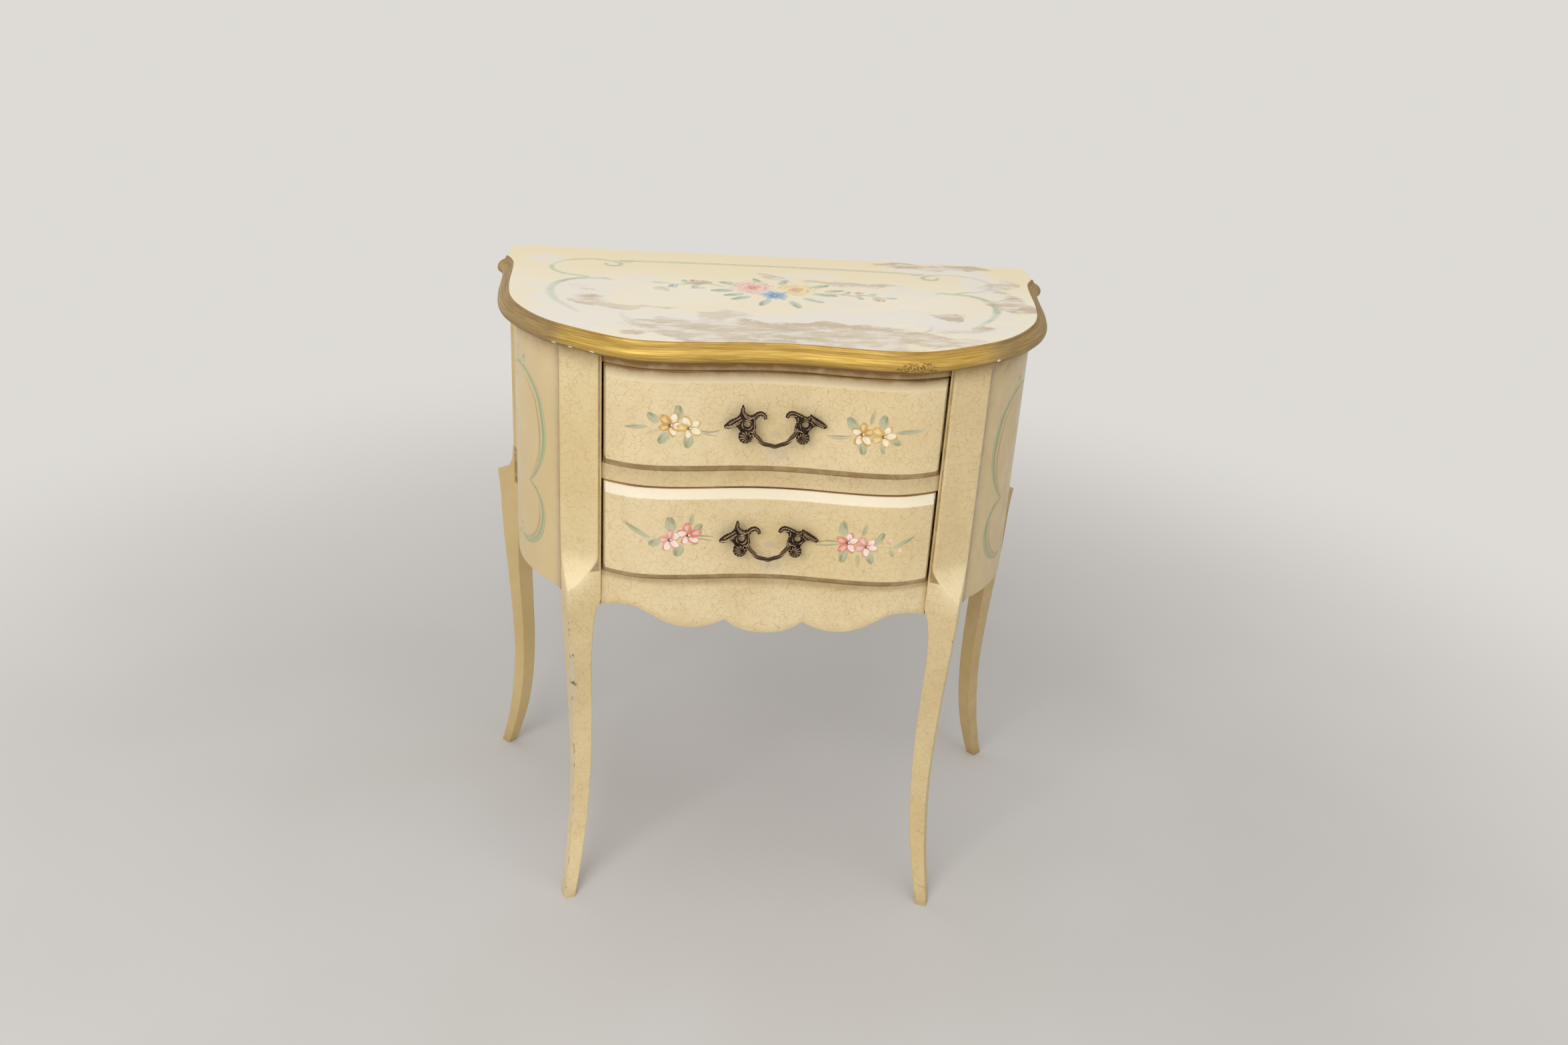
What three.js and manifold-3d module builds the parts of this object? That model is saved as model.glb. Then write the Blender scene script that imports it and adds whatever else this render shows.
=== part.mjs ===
// A painted two-drawer commode chest: serpentine front, bowed sides, four curved legs.
// Sizes are millimetres, +Z is up and the front faces -Y. Plan sizes are measured from the
// middle of the top's back edge; the last lines move the origin to the middle of the footprint.

import * as THREE from 'three';
import { mergeVertices } from 'three/addons/utils/BufferGeometryUtils.js';
import Module from 'manifold-3d';

const wasm = await Module();
wasm.setup();

// Overall sizes
const chestHeight = 680;
const topHalfWidth = 288.2;
const topDepth = 303.2;
const topThickness = 20;

// Clearances
const fitGap = 0.3;
const overrun = 20;
const drawerSideGap = 1.4;
const drawerTopGap = 1.6;
const drawerBottomGap = 0.8;

// Heights that add up from the top board down to the drawers and the apron
const topRailThickness = 10.4;
const upperOpeningHeight = 104.9;
const middleRailThickness = 17.2;
const lowerOpeningHeight = 102.8;
const legHeadDrop = 19.4;
const topUnderside = chestHeight - topThickness;
const caseTop = topUnderside - fitGap;
const openingTop = caseTop - topRailThickness;
const middleRailTop = openingTop - upperOpeningHeight;
const apronTop = middleRailTop - middleRailThickness - lowerOpeningHeight;
const frontLegHeight = apronTop - legHeadDrop;

// Top board: the painted field's edge, with a moulding round it and a plain stretch at the back
const mouldingReach = 11.8;
const rawSideLength = 42;
const rawSideInset = 0.6;
const rawCornerInset = 2.2;
const topFrontShares = [[0, 0.9687], [0.104, 0.9736], [0.208, 0.9861], [0.312, 0.997],
  [0.3886, 1], [0.468, 0.9937], [0.538, 0.9723], [0.59, 0.948], [0.659, 0.91]];
const topSideShares = [[0.7356, 0.864], [0.791, 0.818], [0.8397, 0.7635], [0.881, 0.7025],
  [0.909, 0.648], [0.93, 0.584], [0.943, 0.508], [0.951, 0.429], [0.9555, 0.346],
  [0.9605, 0.272], [0.9685, 0.21], [0.984, 0.168]];
// Each row is the share of the moulding's reach and of the board's thickness
const mouldingShares = [[0, 0], [0.16, 0.05], [0.2, 0.14], [0.42, 0.2], [0.72, 0.29],
  [0.94, 0.44], [1, 0.62], [0.9, 0.8], [0.62, 0.93], [0.3, 1]];

// Front rails and apron
const caseSetback = 6.7;
const railDepth = 42;
const apronThickness = 21;
const apronCentreDrop = 64.5;
// Each row is the share of the opening's half width and of the centre lobe's drop
const apronMiddleLobeShares = [[0, 1], [0.05, 0.996], [0.11, 0.965], [0.17, 0.9], [0.21, 0.83]];
const apronCuspShare = [0.245, 0.76];
const apronSideLobeShares = [[0.3, 0.82], [0.38, 0.873], [0.46, 0.885], [0.54, 0.852],
  [0.63, 0.77], [0.72, 0.64], [0.8, 0.54], [0.88, 0.53], [0.95, 0.565], [1, 0.63]];

// Front legs: post above, curved leg below, turned a little so that an arris stands forward
const frontLegTurn = THREE.MathUtils.degToRad(18);
const frontArrisShare = [0.6974, 0.9713];
const frontPostWidth = 35.2;
const frontPostDepth = 33;
const frontLegFlare = 7.2;
const frontLegSweep = 41.7;
// Each row: share of the leg's height, of its flare, of its sweep, of the post's width and depth
const frontLegShares = [
  [0, 1, 0.18, 0.364, 0.4], [0.049, 0.76, 0.41, 0.403, 0.45], [0.099, 0.5, 0.61, 0.432, 0.49],
  [0.148, 0.28, 0.77, 0.457, 0.52], [0.198, 0.1, 0.875, 0.486, 0.55],
  [0.272, -0.08, 0.966, 0.511, 0.58], [0.346, -0.21, 1, 0.537, 0.61],
  [0.42, -0.22, 0.998, 0.565, 0.64], [0.494, -0.18, 0.952, 0.597, 0.675],
  [0.568, -0.14, 0.86, 0.619, 0.71], [0.642, -0.11, 0.73, 0.636, 0.75],
  [0.716, -0.08, 0.556, 0.65, 0.8], [0.79, -0.055, 0.372, 0.679, 0.86],
  [0.864, -0.03, 0.204, 0.744, 0.91], [0.919, -0.01, 0.098, 0.824, 0.94],
  [0.94, 0, 0.062, 0.89, 0.95], [0.957, 0, 0.035, 0.965, 0.95], [0.97, 0, 0.018, 1, 0.96],
  [1, 0, 0, 1, 1]];
// The chamfer on the post leaves a narrow strip beside the drawers and ends in a pointed tongue
const chamferFrontStrip = 5.4;
const chamferSideStrip = 5;
const tongueHeight = 36;
const tongueShares = [[0, 1], [0.1, 0.82], [0.25, 0.6], [0.42, 0.42], [0.58, 0.27],
  [0.74, 0.13], [0.88, 0.045], [1, 0]];

// Back legs: a plank set at 45 degrees, with a shoulder just above the case's bottom edge
const backPostStandout = 5;
const backPostInset = 1;
const backPostFace = 38.5;
const backPostInner = 18;
const backLegTurn = THREE.MathUtils.degToRad(45);
const backLegSweep = 36.5;
const backLegThickness = 25;
const shoulderHeight = 47;
// Each row: share of the leg's height, then places along the plank as shares of the sweep for
// the leg's inner and outer edge, then the share of the plank's thickness
const backLegShares = [
  [0, 0.723, 1.093, 0.545], [0.051, 0.49, 0.888, 0.585], [0.09, 0.345, 0.764, 0.61],
  [0.154, 0.12, 0.573, 0.66], [0.241, -0.1, 0.389, 0.7], [0.33, -0.226, 0.258, 0.73],
  [0.41, -0.275, 0.208, 0.75], [0.487, -0.27, 0.25, 0.77], [0.58, -0.213, 0.335, 0.8],
  [0.66, -0.14, 0.445, 0.85], [0.749, -0.115, 0.575, 0.9], [0.826, -0.17, 0.675, 0.94],
  [0.89, -0.33, 0.725, 0.97], [0.938, -0.56, 0.75, 0.99], [0.975, -0.83, 0.8, 1],
  [1, -1.03, 0.85, 1]];
// Each row: share of the shoulder's height, then of the sweep and of the plank's thickness
const shoulderShares = [[0.14, 0.88, 0.86], [0.19, 0.62, 0.72], [0.3, 0.4, 0.52],
  [0.46, 0.22, 0.33], [0.68, 0.08, 0.15], [1, 0.02, 0.02]];

// Side panels and the curved cleats inside them
const panelThickness = 8;
const panelSetback = 4;
const panelBottomShare = 0.963;
const panelBottom = panelBottomShare * frontLegHeight;
const panelFlareShares = [[0.949, 0.224], [0.959, 0.148], [0.972, 0.085]];
const panelEndShare = 0.33;
const cleatThickness = 16;
const cleatHeight = 18;
const cleatEndInset = 24;

// Back panel, back rails, runners, kickers, stops and glue blocks
const backPanelThickness = 5;
const backPanelInset = 4;
const backRailThickness = 17;
const backRailHeight = 17.2;
const runnerWidth = 30;
const runnerThickness = 17.2;
const runnerLap = 18;
const guideHeight = 78;
const stopWidth = 10;
const stopDepth = 15;
const stopHeight = 20;
const glueBlockWidth = 17;
const glueBlockHeight = 17;

// Drawers
const drawerProud = 8;
const bevelHeight = 8.5;
const sideBevel = 3;
const drawerFrontThickness = 19;
const drawerSideThickness = 10;
const drawerBackThickness = 10;
const drawerHeadroom = 20.6;
const drawerBottomThickness = 4;
const drawerBottomRise = 8;
const drawerGrooveDepth = 5;

// Drawer pulls: a one-piece casting on two posts, with screws from inside the drawer
const upperPullHeightShare = 0.556;
const lowerPullHeightShare = 0.54;
const pullHalfSpacing = 28.3;
const pullRise = 20.3;
const pullStandoff = 10;
const pullBow = 7;
const pullPlateThickness = 4;
const pullEyeRadius = 3.2;
const bailRadius = 2.4;
const shellDepth = 5;
const pullPostRadius = 3.5;
const pullPostDrop = 12;
const pullScrewRadius = 2;
const pullScrewHead = 4.2;
const pullScrewHeadHeight = 2.6;
const pullScrewGrip = 7;
// Places on a pull are shares of the half spacing across and of the rise up or down
const leftPlateShares = [[-1.75, -0.19], [-1.64, -0.01], [-1.52, 0.13], [-1.4, 0.21],
  [-1.29, 0.32], [-1.22, 0.48], [-1.19, 0.7], [-1.13, 0.92], [-1.07, 0.78], [-1.05, 0.58],
  [-0.98, 0.46], [-0.87, 0.4], [-0.76, 0.45], [-0.65, 0.57], [-0.51, 0.62], [-0.38, 0.54],
  [-0.3, 0.37], [-0.31, 0.24], [-0.39, 0.24], [-0.45, 0.33], [-0.55, 0.33], [-0.65, 0.23],
  [-0.68, 0.07], [-0.66, -0.13], [-0.66, -0.47], [-0.85, -0.58], [-1.06, -0.58],
  [-1.22, -0.36], [-1.29, -0.23], [-1.43, -0.21], [-1.56, -0.31], [-1.7, -0.3]];
const rightPlateShares = [[1.75, -0.01], [1.65, 0.15], [1.52, 0.27], [1.4, 0.38], [1.27, 0.48],
  [1.18, 0.57], [1.12, 0.46], [1.01, 0.44], [0.87, 0.54], [0.72, 0.63], [0.58, 0.7],
  [0.45, 0.67], [0.35, 0.54], [0.33, 0.38], [0.4, 0.33], [0.47, 0.39], [0.59, 0.4],
  [0.67, 0.3], [0.7, 0.13], [0.66, -0.05], [0.65, -0.4], [0.85, -0.52], [1.04, -0.53],
  [1.2, -0.2], [1.33, -0.05], [1.47, -0.04], [1.61, -0.11], [1.71, -0.11]];
const leftEyeShare = [-0.96, -0.06];
const rightEyeShare = [1.01, 0.04];
const bailShares = [[-0.74, -0.26], [-0.64, -0.6], [-0.385, -0.9], [0, -0.96],
  [0.385, -0.84], [0.64, -0.5], [0.74, -0.14]];
// Each shell's place, then its radius as a share of the half spacing
const leftShellShare = [-1, -0.7, 0.22];
const rightShellShare = [0.93, -0.67, 0.2];

// Screws that hold the top down
const topScrewRadius = 2;
const topScrewHead = 4;
const topScrewHeadHeight = 2.5;
const topScrewBite = 11;

// Facets
const curveSteps = 3;
const bowSteps = 30;
const roundSides = 10;

// Paint, gilding, wood and metal
const finish = (color, roughness, metalness) =>
  new THREE.MeshStandardMaterial({ color, roughness, metalness });
const creamPaint = finish(0xe2cb95, 0.55, 0);
const smoothPaint = finish(0xd9c193, 0.5, 0);
const topPaint = finish(0xe6d9bd, 0.5, 0);
const bareWood = finish(0xb08a5c, 0.8, 0);
const plywood = finish(0xb99a6d, 0.8, 0);
const darkBronze = finish(0x4a3a2c, 0.45, 0.8);
const screwSteel = finish(0x8d8d8a, 0.4, 0.9);

const chest = new THREE.Group();

// Helpers for closed shapes

function outward(geometry) {
  const position = geometry.attributes.position;
  const index = geometry.index.array;
  const [a, b, c] = [new THREE.Vector3(), new THREE.Vector3(), new THREE.Vector3()];
  let volume = 0;
  for (let i = 0; i < index.length; i += 3) {
    a.fromBufferAttribute(position, index[i]);
    b.fromBufferAttribute(position, index[i + 1]);
    c.fromBufferAttribute(position, index[i + 2]);
    volume += a.dot(b.cross(c));
  }
  if (volume < 0) {
    for (let i = 0; i < index.length; i += 3) {
      [index[i], index[i + 1]] = [index[i + 1], index[i]];
    }
  }
  return geometry;
}

function solidFrom(geometry) {
  const bare = geometry.clone();
  bare.deleteAttribute('normal');
  bare.deleteAttribute('uv');
  const welded = outward(mergeVertices(bare));
  return new wasm.Manifold(new wasm.Mesh({
    numProp: 3,
    vertProperties: new Float32Array(welded.attributes.position.array),
    triVerts: new Uint32Array(welded.index.array),
  }));
}

function geometryFrom(solid) {
  const mesh = solid.getMesh();
  const geometry = new THREE.BufferGeometry();
  const places = new Float32Array(mesh.vertProperties);
  geometry.setAttribute('position', new THREE.BufferAttribute(places, 3));
  geometry.setIndex(new THREE.BufferAttribute(new Uint32Array(mesh.triVerts), 1));
  return geometry;
}

function mirrored(solid) {
  return solidFrom(geometryFrom(solid).scale(-1, 1, 1));
}

function place(name, solid, material) {
  const geometry = geometryFrom(solid).toNonIndexed();
  geometry.computeVertexNormals();
  const mesh = new THREE.Mesh(geometry, material);
  mesh.name = name;
  chest.add(mesh);
}

function placePair(name, rightSolid, material) {
  place(name('left'), mirrored(rightSolid), material);
  place(name('right'), rightSolid, material);
}

function box(x0, x1, y0, y1, z0, z1) {
  const geometry = new THREE.BoxGeometry(x1 - x0, y1 - y0, z1 - z0);
  geometry.translate((x0 + x1) / 2, (y0 + y1) / 2, (z0 + z1) / 2);
  return solidFrom(geometry);
}

function prism(points, z0, z1) {
  const shape = new THREE.Shape(points.map(([x, y]) => new THREE.Vector2(x, y)));
  const geometry = new THREE.ExtrudeGeometry(shape, { depth: z1 - z0, bevelEnabled: false });
  return solidFrom(geometry.translate(0, 0, z0));
}

// A closed skin through rings with as many points each, capped by the given triangles
function skin(rings, capTriangles) {
  const size = rings[0].length;
  const index = [];
  for (let ring = 0; ring + 1 < rings.length; ring += 1) {
    for (let i = 0; i < size; i += 1) {
      const next = (i + 1) % size;
      const low = ring * size;
      const high = low + size;
      index.push(low + i, low + next, high + next, low + i, high + next, high + i);
    }
  }
  const last = (rings.length - 1) * size;
  for (const [a, b, c] of capTriangles) {
    index.push(a, c, b, last + a, last + b, last + c);
  }
  const geometry = new THREE.BufferGeometry();
  geometry.setAttribute('position', new THREE.Float32BufferAttribute(rings.flat(2), 3));
  geometry.setIndex(index);
  return solidFrom(geometry);
}

function loft(rings) {
  const flatten = (ring) => ring.map(([x, y]) => new THREE.Vector2(x, y));
  const turned = THREE.ShapeUtils.isClockWise(flatten(rings[0]));
  const ordered = turned ? rings.map((ring) => [...ring].reverse()) : rings;
  return skin(ordered, THREE.ShapeUtils.triangulateShape(flatten(ordered[0]), []));
}

function smooth(rows, steps = curveSteps) {
  const result = [];
  for (let i = 0; i + 1 < rows.length; i += 1) {
    const before = rows[Math.max(i - 1, 0)];
    const after = rows[Math.min(i + 2, rows.length - 1)];
    for (let step = 0; step < steps; step += 1) {
      const t = step / steps;
      result.push(rows[i].map((value, k) => {
        const next = rows[i + 1][k];
        const startSlope = (next - before[k]) / 2;
        const endSlope = (after[k] - value) / 2;
        const t2 = t * t;
        const t3 = t2 * t;
        return (2 * t3 - 3 * t2 + 1) * value + (t3 - 2 * t2 + t) * startSlope
          + (3 * t2 - 2 * t3) * next + (t3 - t2) * endSlope;
      }));
    }
  }
  result.push(rows[rows.length - 1]);
  return result;
}

// The curve moved sideways along its own normals, to the left of its direction of travel
function offsetCurve(points, distance) {
  return points.map(([x, y], i) => {
    const before = points[Math.max(i - 1, 0)];
    const after = points[Math.min(i + 1, points.length - 1)];
    const length = Math.hypot(after[0] - before[0], after[1] - before[1]);
    const nx = -(after[1] - before[1]) / length;
    const ny = (after[0] - before[0]) / length;
    return [x + nx * distance, y + ny * distance];
  });
}

// Plan curves, on the right half, running from the front's middle round to the back

const fromShares = (rows) => rows.map(([x, y]) => [x * topHalfWidth, -y * topDepth]);
const earTip = [topHalfWidth, -rawSideLength];
const topControl = [...fromShares(topFrontShares), ...fromShares(topSideShares), earTip];
const acrossTheMiddle = [-topControl[1][0], topControl[1][1]];
const rightTopCurve = smooth([acrossTheMiddle, ...topControl]).slice(curveSteps);
const leftTopCurve = rightTopCurve.slice(1).reverse().map(([x, y]) => [-x, y]);
const topCurve = [...leftTopCurve, ...rightTopCurve];
const railCurve = offsetCurve(topCurve, caseSetback);

function railFrontAt(x) {
  const i = railCurve.findIndex(([px], k) => k > 0 && px >= x);
  const [x0, y0] = railCurve[i - 1];
  const [x1, y1] = railCurve[i];
  return y0 + (y1 - y0) * (x - x0) / (x1 - x0);
}

// Top board

function makeTopBoard() {
  const rawSide = topHalfWidth - rawSideInset;
  const rawCorner = topHalfWidth - rawCornerInset;
  const rings = mouldingShares.map(([reach, drop]) => {
    const z = chestHeight - drop * topThickness;
    const edge = offsetCurve(topCurve, -reach * mouldingReach);
    const plan = [...edge, [rawSide, -rawSideLength + rawSideInset], [rawCorner, 0],
      [-rawCorner, 0], [-rawSide, -rawSideLength + rawSideInset]];
    return plan.map(([x, y]) => [x, y, z]);
  });
  return loft(rings);
}

// Front legs, made as the right-hand one

const frontAlong = [-Math.cos(frontLegTurn), Math.sin(frontLegTurn)];
const sideAlong = [Math.sin(frontLegTurn), Math.cos(frontLegTurn)];
const moved = ([x, y], [dx, dy], distance) => [x + dx * distance, y + dy * distance];
const frontArris = [frontArrisShare[0] * topHalfWidth, -frontArrisShare[1] * topDepth];
const openingCorner = moved(frontArris, frontAlong, frontPostWidth);
const openingHalfWidth = openingCorner[0];
const panelStart = moved(frontArris, sideAlong, frontPostDepth);

function frontLegRing(arris, width, depth, z) {
  const inner = moved(arris, frontAlong, width);
  const outer = moved(arris, sideAlong, depth);
  const back = moved(inner, sideAlong, depth);
  return [arris, inner, back, outer].map(([x, y]) => [x, y, z]);
}

function makeFrontLeg() {
  const rings = smooth(frontLegShares, 2).map(([height, flare, sweep, width, depth]) => {
    const arris = [frontArris[0] + flare * frontLegFlare, frontArris[1] + sweep * frontLegSweep];
    return frontLegRing(arris, width * frontPostWidth, depth * frontPostDepth, height * frontLegHeight);
  });
  rings.push(frontLegRing(frontArris, frontPostWidth, frontPostDepth, caseTop));
  const blank = loft(rings);

  const chamferStart = moved(frontArris, frontAlong, frontPostWidth - chamferFrontStrip);
  const chamferEnd = moved(frontArris, sideAlong, frontPostDepth - chamferSideStrip);
  const chamferLength = Math.hypot(chamferEnd[0] - chamferStart[0], chamferEnd[1] - chamferStart[1]);
  const chamferAlong = [(chamferEnd[0] - chamferStart[0]) / chamferLength,
    (chamferEnd[1] - chamferStart[1]) / chamferLength];
  const chamferOut = [chamferAlong[1], -chamferAlong[0]];
  const toArris = [frontArris[0] - chamferStart[0], frontArris[1] - chamferStart[1]];
  const depth = toArris[0] * chamferOut[0] + toArris[1] * chamferOut[1];
  const cutterRing = (share, z) => {
    const low = moved(moved(chamferStart, chamferOut, share * depth), chamferAlong, -overrun);
    const high = moved(low, chamferAlong, chamferLength + 2 * overrun);
    return [low, high, moved(high, chamferOut, 2 * depth), moved(low, chamferOut, 2 * depth)]
      .map(([x, y]) => [x, y, z]);
  };
  const cutter = tongueShares.map(([rise, share]) =>
    cutterRing(share, frontLegHeight + rise * tongueHeight));
  cutter.push(cutterRing(0, caseTop + overrun));
  return blank.subtract(loft(cutter));
}

// A full-height slab with one face through a point, along one direction and lying towards another
function slab(point, along, towards, sign) {
  const reach = 5 * overrun;
  const near = moved(point, along, -reach);
  const far = moved(point, along, reach);
  return prism([near, far, moved(far, towards, sign * reach), moved(near, towards, sign * reach)],
    -overrun, chestHeight);
}

const beyondPost = slab(moved(openingCorner, frontAlong, fitGap), sideAlong, frontAlong, -1);
const beyondPosts = [beyondPost, mirrored(beyondPost)];
const fitBetweenPosts = (solid) => beyondPosts.reduce((rest, beyond) => rest.subtract(beyond), solid);

// Back legs, made as the right-hand one, in a frame along and through the 45 degree plank

const plankAlong = [Math.sin(backLegTurn), Math.cos(backLegTurn)];
const plankThrough = [-Math.cos(backLegTurn), Math.sin(backLegTurn)];
const backPostCorner = [topHalfWidth + backPostStandout, -backPostInset];
const backPostFront = moved(backPostCorner, plankAlong, -backPostFace);
const backPostInnerX = backPostFront[0] - backPostInner;

function makeBackLeg() {
  const ring = (inner, outer, innerThickness, outerThickness, z) => {
    const a = moved(backPostCorner, plankAlong, inner);
    const b = moved(backPostCorner, plankAlong, outer);
    return [a, b, moved(b, plankThrough, outerThickness), moved(a, plankThrough, innerThickness)]
      .map(([x, y]) => [x, y, z]);
  };
  const legRings = smooth(backLegShares, 2).map(([height, inner, outer, thickness]) =>
    ring(inner * backLegSweep, outer * backLegSweep, thickness * backLegThickness,
      thickness * backLegThickness, height * panelBottom));
  const shoulderRings = shoulderShares.map(([rise, outer, thickness]) =>
    ring(-backLegSweep, outer * backLegSweep, backLegThickness, thickness * backLegThickness,
      panelBottom + rise * shoulderHeight));
  const post = prism([backPostCorner, backPostFront, [backPostInnerX, backPostFront[1]],
    [backPostInnerX, -backPostInset]], panelBottom, caseTop);
  return loft([...legRings, ...shoulderRings]).add(post);
}

// Side panels and cleats, made as the right-hand ones

function panelCurve() {
  const flare = fromShares(panelFlareShares);
  const kept = rightTopCurve.filter(([, y]) =>
    y > panelStart[1] + panelThickness && y < flare[0][1] - panelThickness);
  const end = moved(backPostCorner, plankAlong, -panelEndShare * backPostFace);
  return [panelStart, ...offsetCurve(kept, panelSetback), ...flare, end];
}

function ribbon(curve, near, far, z0, z1) {
  return prism([...offsetCurve(curve, near), ...offsetCurve(curve, far).reverse()], z0, z1);
}

function makeSidePanel() {
  const curve = panelCurve();
  const first = curve[0];
  const last = curve[curve.length - 1];
  const run = [moved(first, sideAlong, -overrun), ...curve, moved(last, plankAlong, overrun)];
  const sheet = ribbon(run, 0, panelThickness, panelBottom, caseTop);
  const besideLeg = slab(moved(panelStart, sideAlong, fitGap), frontAlong, sideAlong, -1);
  const besidePost = slab(moved(backPostCorner, plankThrough, -fitGap), plankAlong, plankThrough, 1);
  return sheet.subtract(besideLeg).subtract(besidePost);
}

function makeSideCleat() {
  const curve = panelCurve();
  const back = curve[curve.length - 1];
  const kept = curve.filter(([, y]) => y > panelStart[1] + cleatEndInset && y < back[1] - cleatEndInset);
  const near = panelThickness + fitGap;
  return ribbon(kept, near, near + cleatThickness, caseTop - cleatHeight, caseTop);
}

// Boards with a straight back and a bowed front

function bowedBoard(halfWidth, bottom, top, back, frontAt, raised) {
  const ring = (half, low, high, yAt) => {
    const across = Array.from({ length: bowSteps + 1 }, (_, i) => -half + 2 * half * i / bowSteps);
    const upper = across.map((x) => [x, yAt(x), high]);
    const lower = across.map((x) => [x, yAt(x), low]);
    return [...upper, ...lower.reverse()];
  };
  const rings = [ring(halfWidth, bottom, top, () => -back), ring(halfWidth, bottom, top, frontAt)];
  if (raised) {
    rings.push(ring(halfWidth - raised.side, bottom + raised.height, top - raised.height,
      (x) => frontAt(x) - raised.depth));
  }
  const size = rings[0].length;
  const caps = [];
  for (let i = 0; i < bowSteps; i += 1) {
    caps.push([i, i + 1, size - 2 - i], [i, size - 2 - i, size - 1 - i]);
  }
  return skin(rings, caps);
}

const railBack = -railFrontAt(0) - railDepth;
const railHalfWidth = openingHalfWidth + frontPostDepth;
const makeRail = (bottom, top) =>
  fitBetweenPosts(bowedBoard(railHalfWidth, bottom, top, railBack, railFrontAt));

const apronBack = -railFrontAt(0) - apronThickness;

function makeApron() {
  const half = [...apronMiddleLobeShares, apronCuspShare, ...apronSideLobeShares]
    .map(([across, drop]) => [across * openingHalfWidth, apronTop - drop * apronCentreDrop]);
  const outerEnd = [railHalfWidth + overrun, half[half.length - 1][1]];
  const rightEdge = [...half, outerEnd];
  const leftEdge = rightEdge.slice(1).reverse().map(([x, z]) => [-x, z]);
  const outline = [...leftEdge, ...rightEdge, [railHalfWidth + overrun, apronTop + overrun],
    [-railHalfWidth - overrun, apronTop + overrun]];
  const shape = new THREE.Shape(outline.map(([x, z]) => new THREE.Vector2(x, z)));
  const cookie = new THREE.ExtrudeGeometry(shape, { depth: topDepth + overrun, bevelEnabled: false });
  cookie.rotateX(Math.PI / 2);
  const lowest = apronTop - apronCentreDrop - overrun;
  const board = bowedBoard(railHalfWidth, lowest, apronTop, apronBack, railFrontAt);
  return fitBetweenPosts(board).intersect(solidFrom(cookie));
}

// Back of the case

const backPanelFront = -backPanelInset - backPanelThickness;
const backRailBack = backPanelFront - fitGap;
const backRailFront = backRailBack - backRailThickness;
const backRailHalf = backPostInnerX - fitGap;
const runnerBack = backRailFront - fitGap;
const makeBackRail = (bottom, top) =>
  box(-backRailHalf, backRailHalf, backRailFront, backRailBack, bottom, top);

// Runners, kickers, stops and glue blocks, made as the right-hand ones

const boxHalfWidth = openingHalfWidth - drawerSideGap;
const runnerInner = boxHalfWidth - runnerLap;
const guideInner = boxHalfWidth + fitGap;
const drawerBoxEnd = runnerBack - stopDepth - fitGap;

function makeRunner(top, front) {
  const start = -front + fitGap;
  const outer = runnerInner + runnerWidth;
  const plank = box(runnerInner, outer, start, runnerBack, top - runnerThickness, top);
  const guide = box(guideInner, outer, start + frontPostDepth, runnerBack, top - fitGap, top + guideHeight);
  return fitBetweenPosts(plank.add(guide));
}

function makeKicker() {
  return box(runnerInner, runnerInner + runnerWidth, -railBack + fitGap, runnerBack, openingTop, caseTop);
}

function makeStop(bearing) {
  const low = bearing + fitGap;
  const front = drawerBoxEnd + fitGap;
  return box(boxHalfWidth - stopWidth, boxHalfWidth, front, runnerBack, low, low + stopHeight);
}

function makeGlueBlock() {
  const top = apronTop - runnerThickness - fitGap;
  const front = -apronBack + fitGap;
  return fitBetweenPosts(box(openingHalfWidth - glueBlockWidth, openingHalfWidth + glueBlockWidth,
    front, front + glueBlockWidth, top - glueBlockHeight, top));
}

// Screws, as turned shapes standing on their heads at the origin and pointing up

function turned(profile) {
  return new THREE.LatheGeometry(profile.map(([r, z]) => new THREE.Vector2(r, z)), roundSides)
    .rotateX(Math.PI / 2);
}

function screwGeometry(head, headHeight, radius, length) {
  return turned([[0, 0], [head, 0], [radius, headHeight], [radius, length - radius], [0, length]]);
}

function screwHole(head, headHeight, radius, length) {
  return turned([[0, -overrun], [head + fitGap, -overrun], [head + fitGap, fitGap],
    [radius + fitGap, headHeight + fitGap], [radius + fitGap, length + fitGap], [0, length + fitGap]]);
}

// Drawer pull: two pierced plates, a bail between them, shell feet and posts, in one casting

function pullPlace(height) {
  const face = railFrontAt(pullHalfSpacing + pullPostRadius) - drawerProud - fitGap;
  return { face, plane: face - pullStandoff, height };
}

function makePullPlate(plateShares, eyeShare, seat) {
  const toPoint = ([across, up]) => new THREE.Vector2(across * pullHalfSpacing, up * pullRise);
  const shape = new THREE.Shape(plateShares.map(toPoint));
  const eye = toPoint(eyeShare);
  shape.holes.push(new THREE.Path().absarc(eye.x, eye.y, pullEyeRadius, 0, 2 * Math.PI));
  const plate = new THREE.ExtrudeGeometry(shape,
    { depth: pullPlateThickness, bevelEnabled: false, curveSegments: roundSides });
  plate.rotateX(Math.PI / 2);
  return solidFrom(plate.translate(0, seat.plane + pullPlateThickness / 2, seat.height));
}

function makeBail(seat) {
  const points = bailShares.map(([across, up]) => new THREE.Vector3(across * pullHalfSpacing,
    seat.plane - pullBow * (1 - Math.abs(across / bailShares[0][0])), seat.height + up * pullRise));
  const section = new THREE.Shape().absarc(0, 0, bailRadius, 0, 2 * Math.PI);
  const extrudePath = new THREE.CatmullRomCurve3(points);
  return solidFrom(new THREE.ExtrudeGeometry(section,
    { steps: 2 * points.length, bevelEnabled: false, curveSegments: roundSides / 2, extrudePath }));
}

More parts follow.
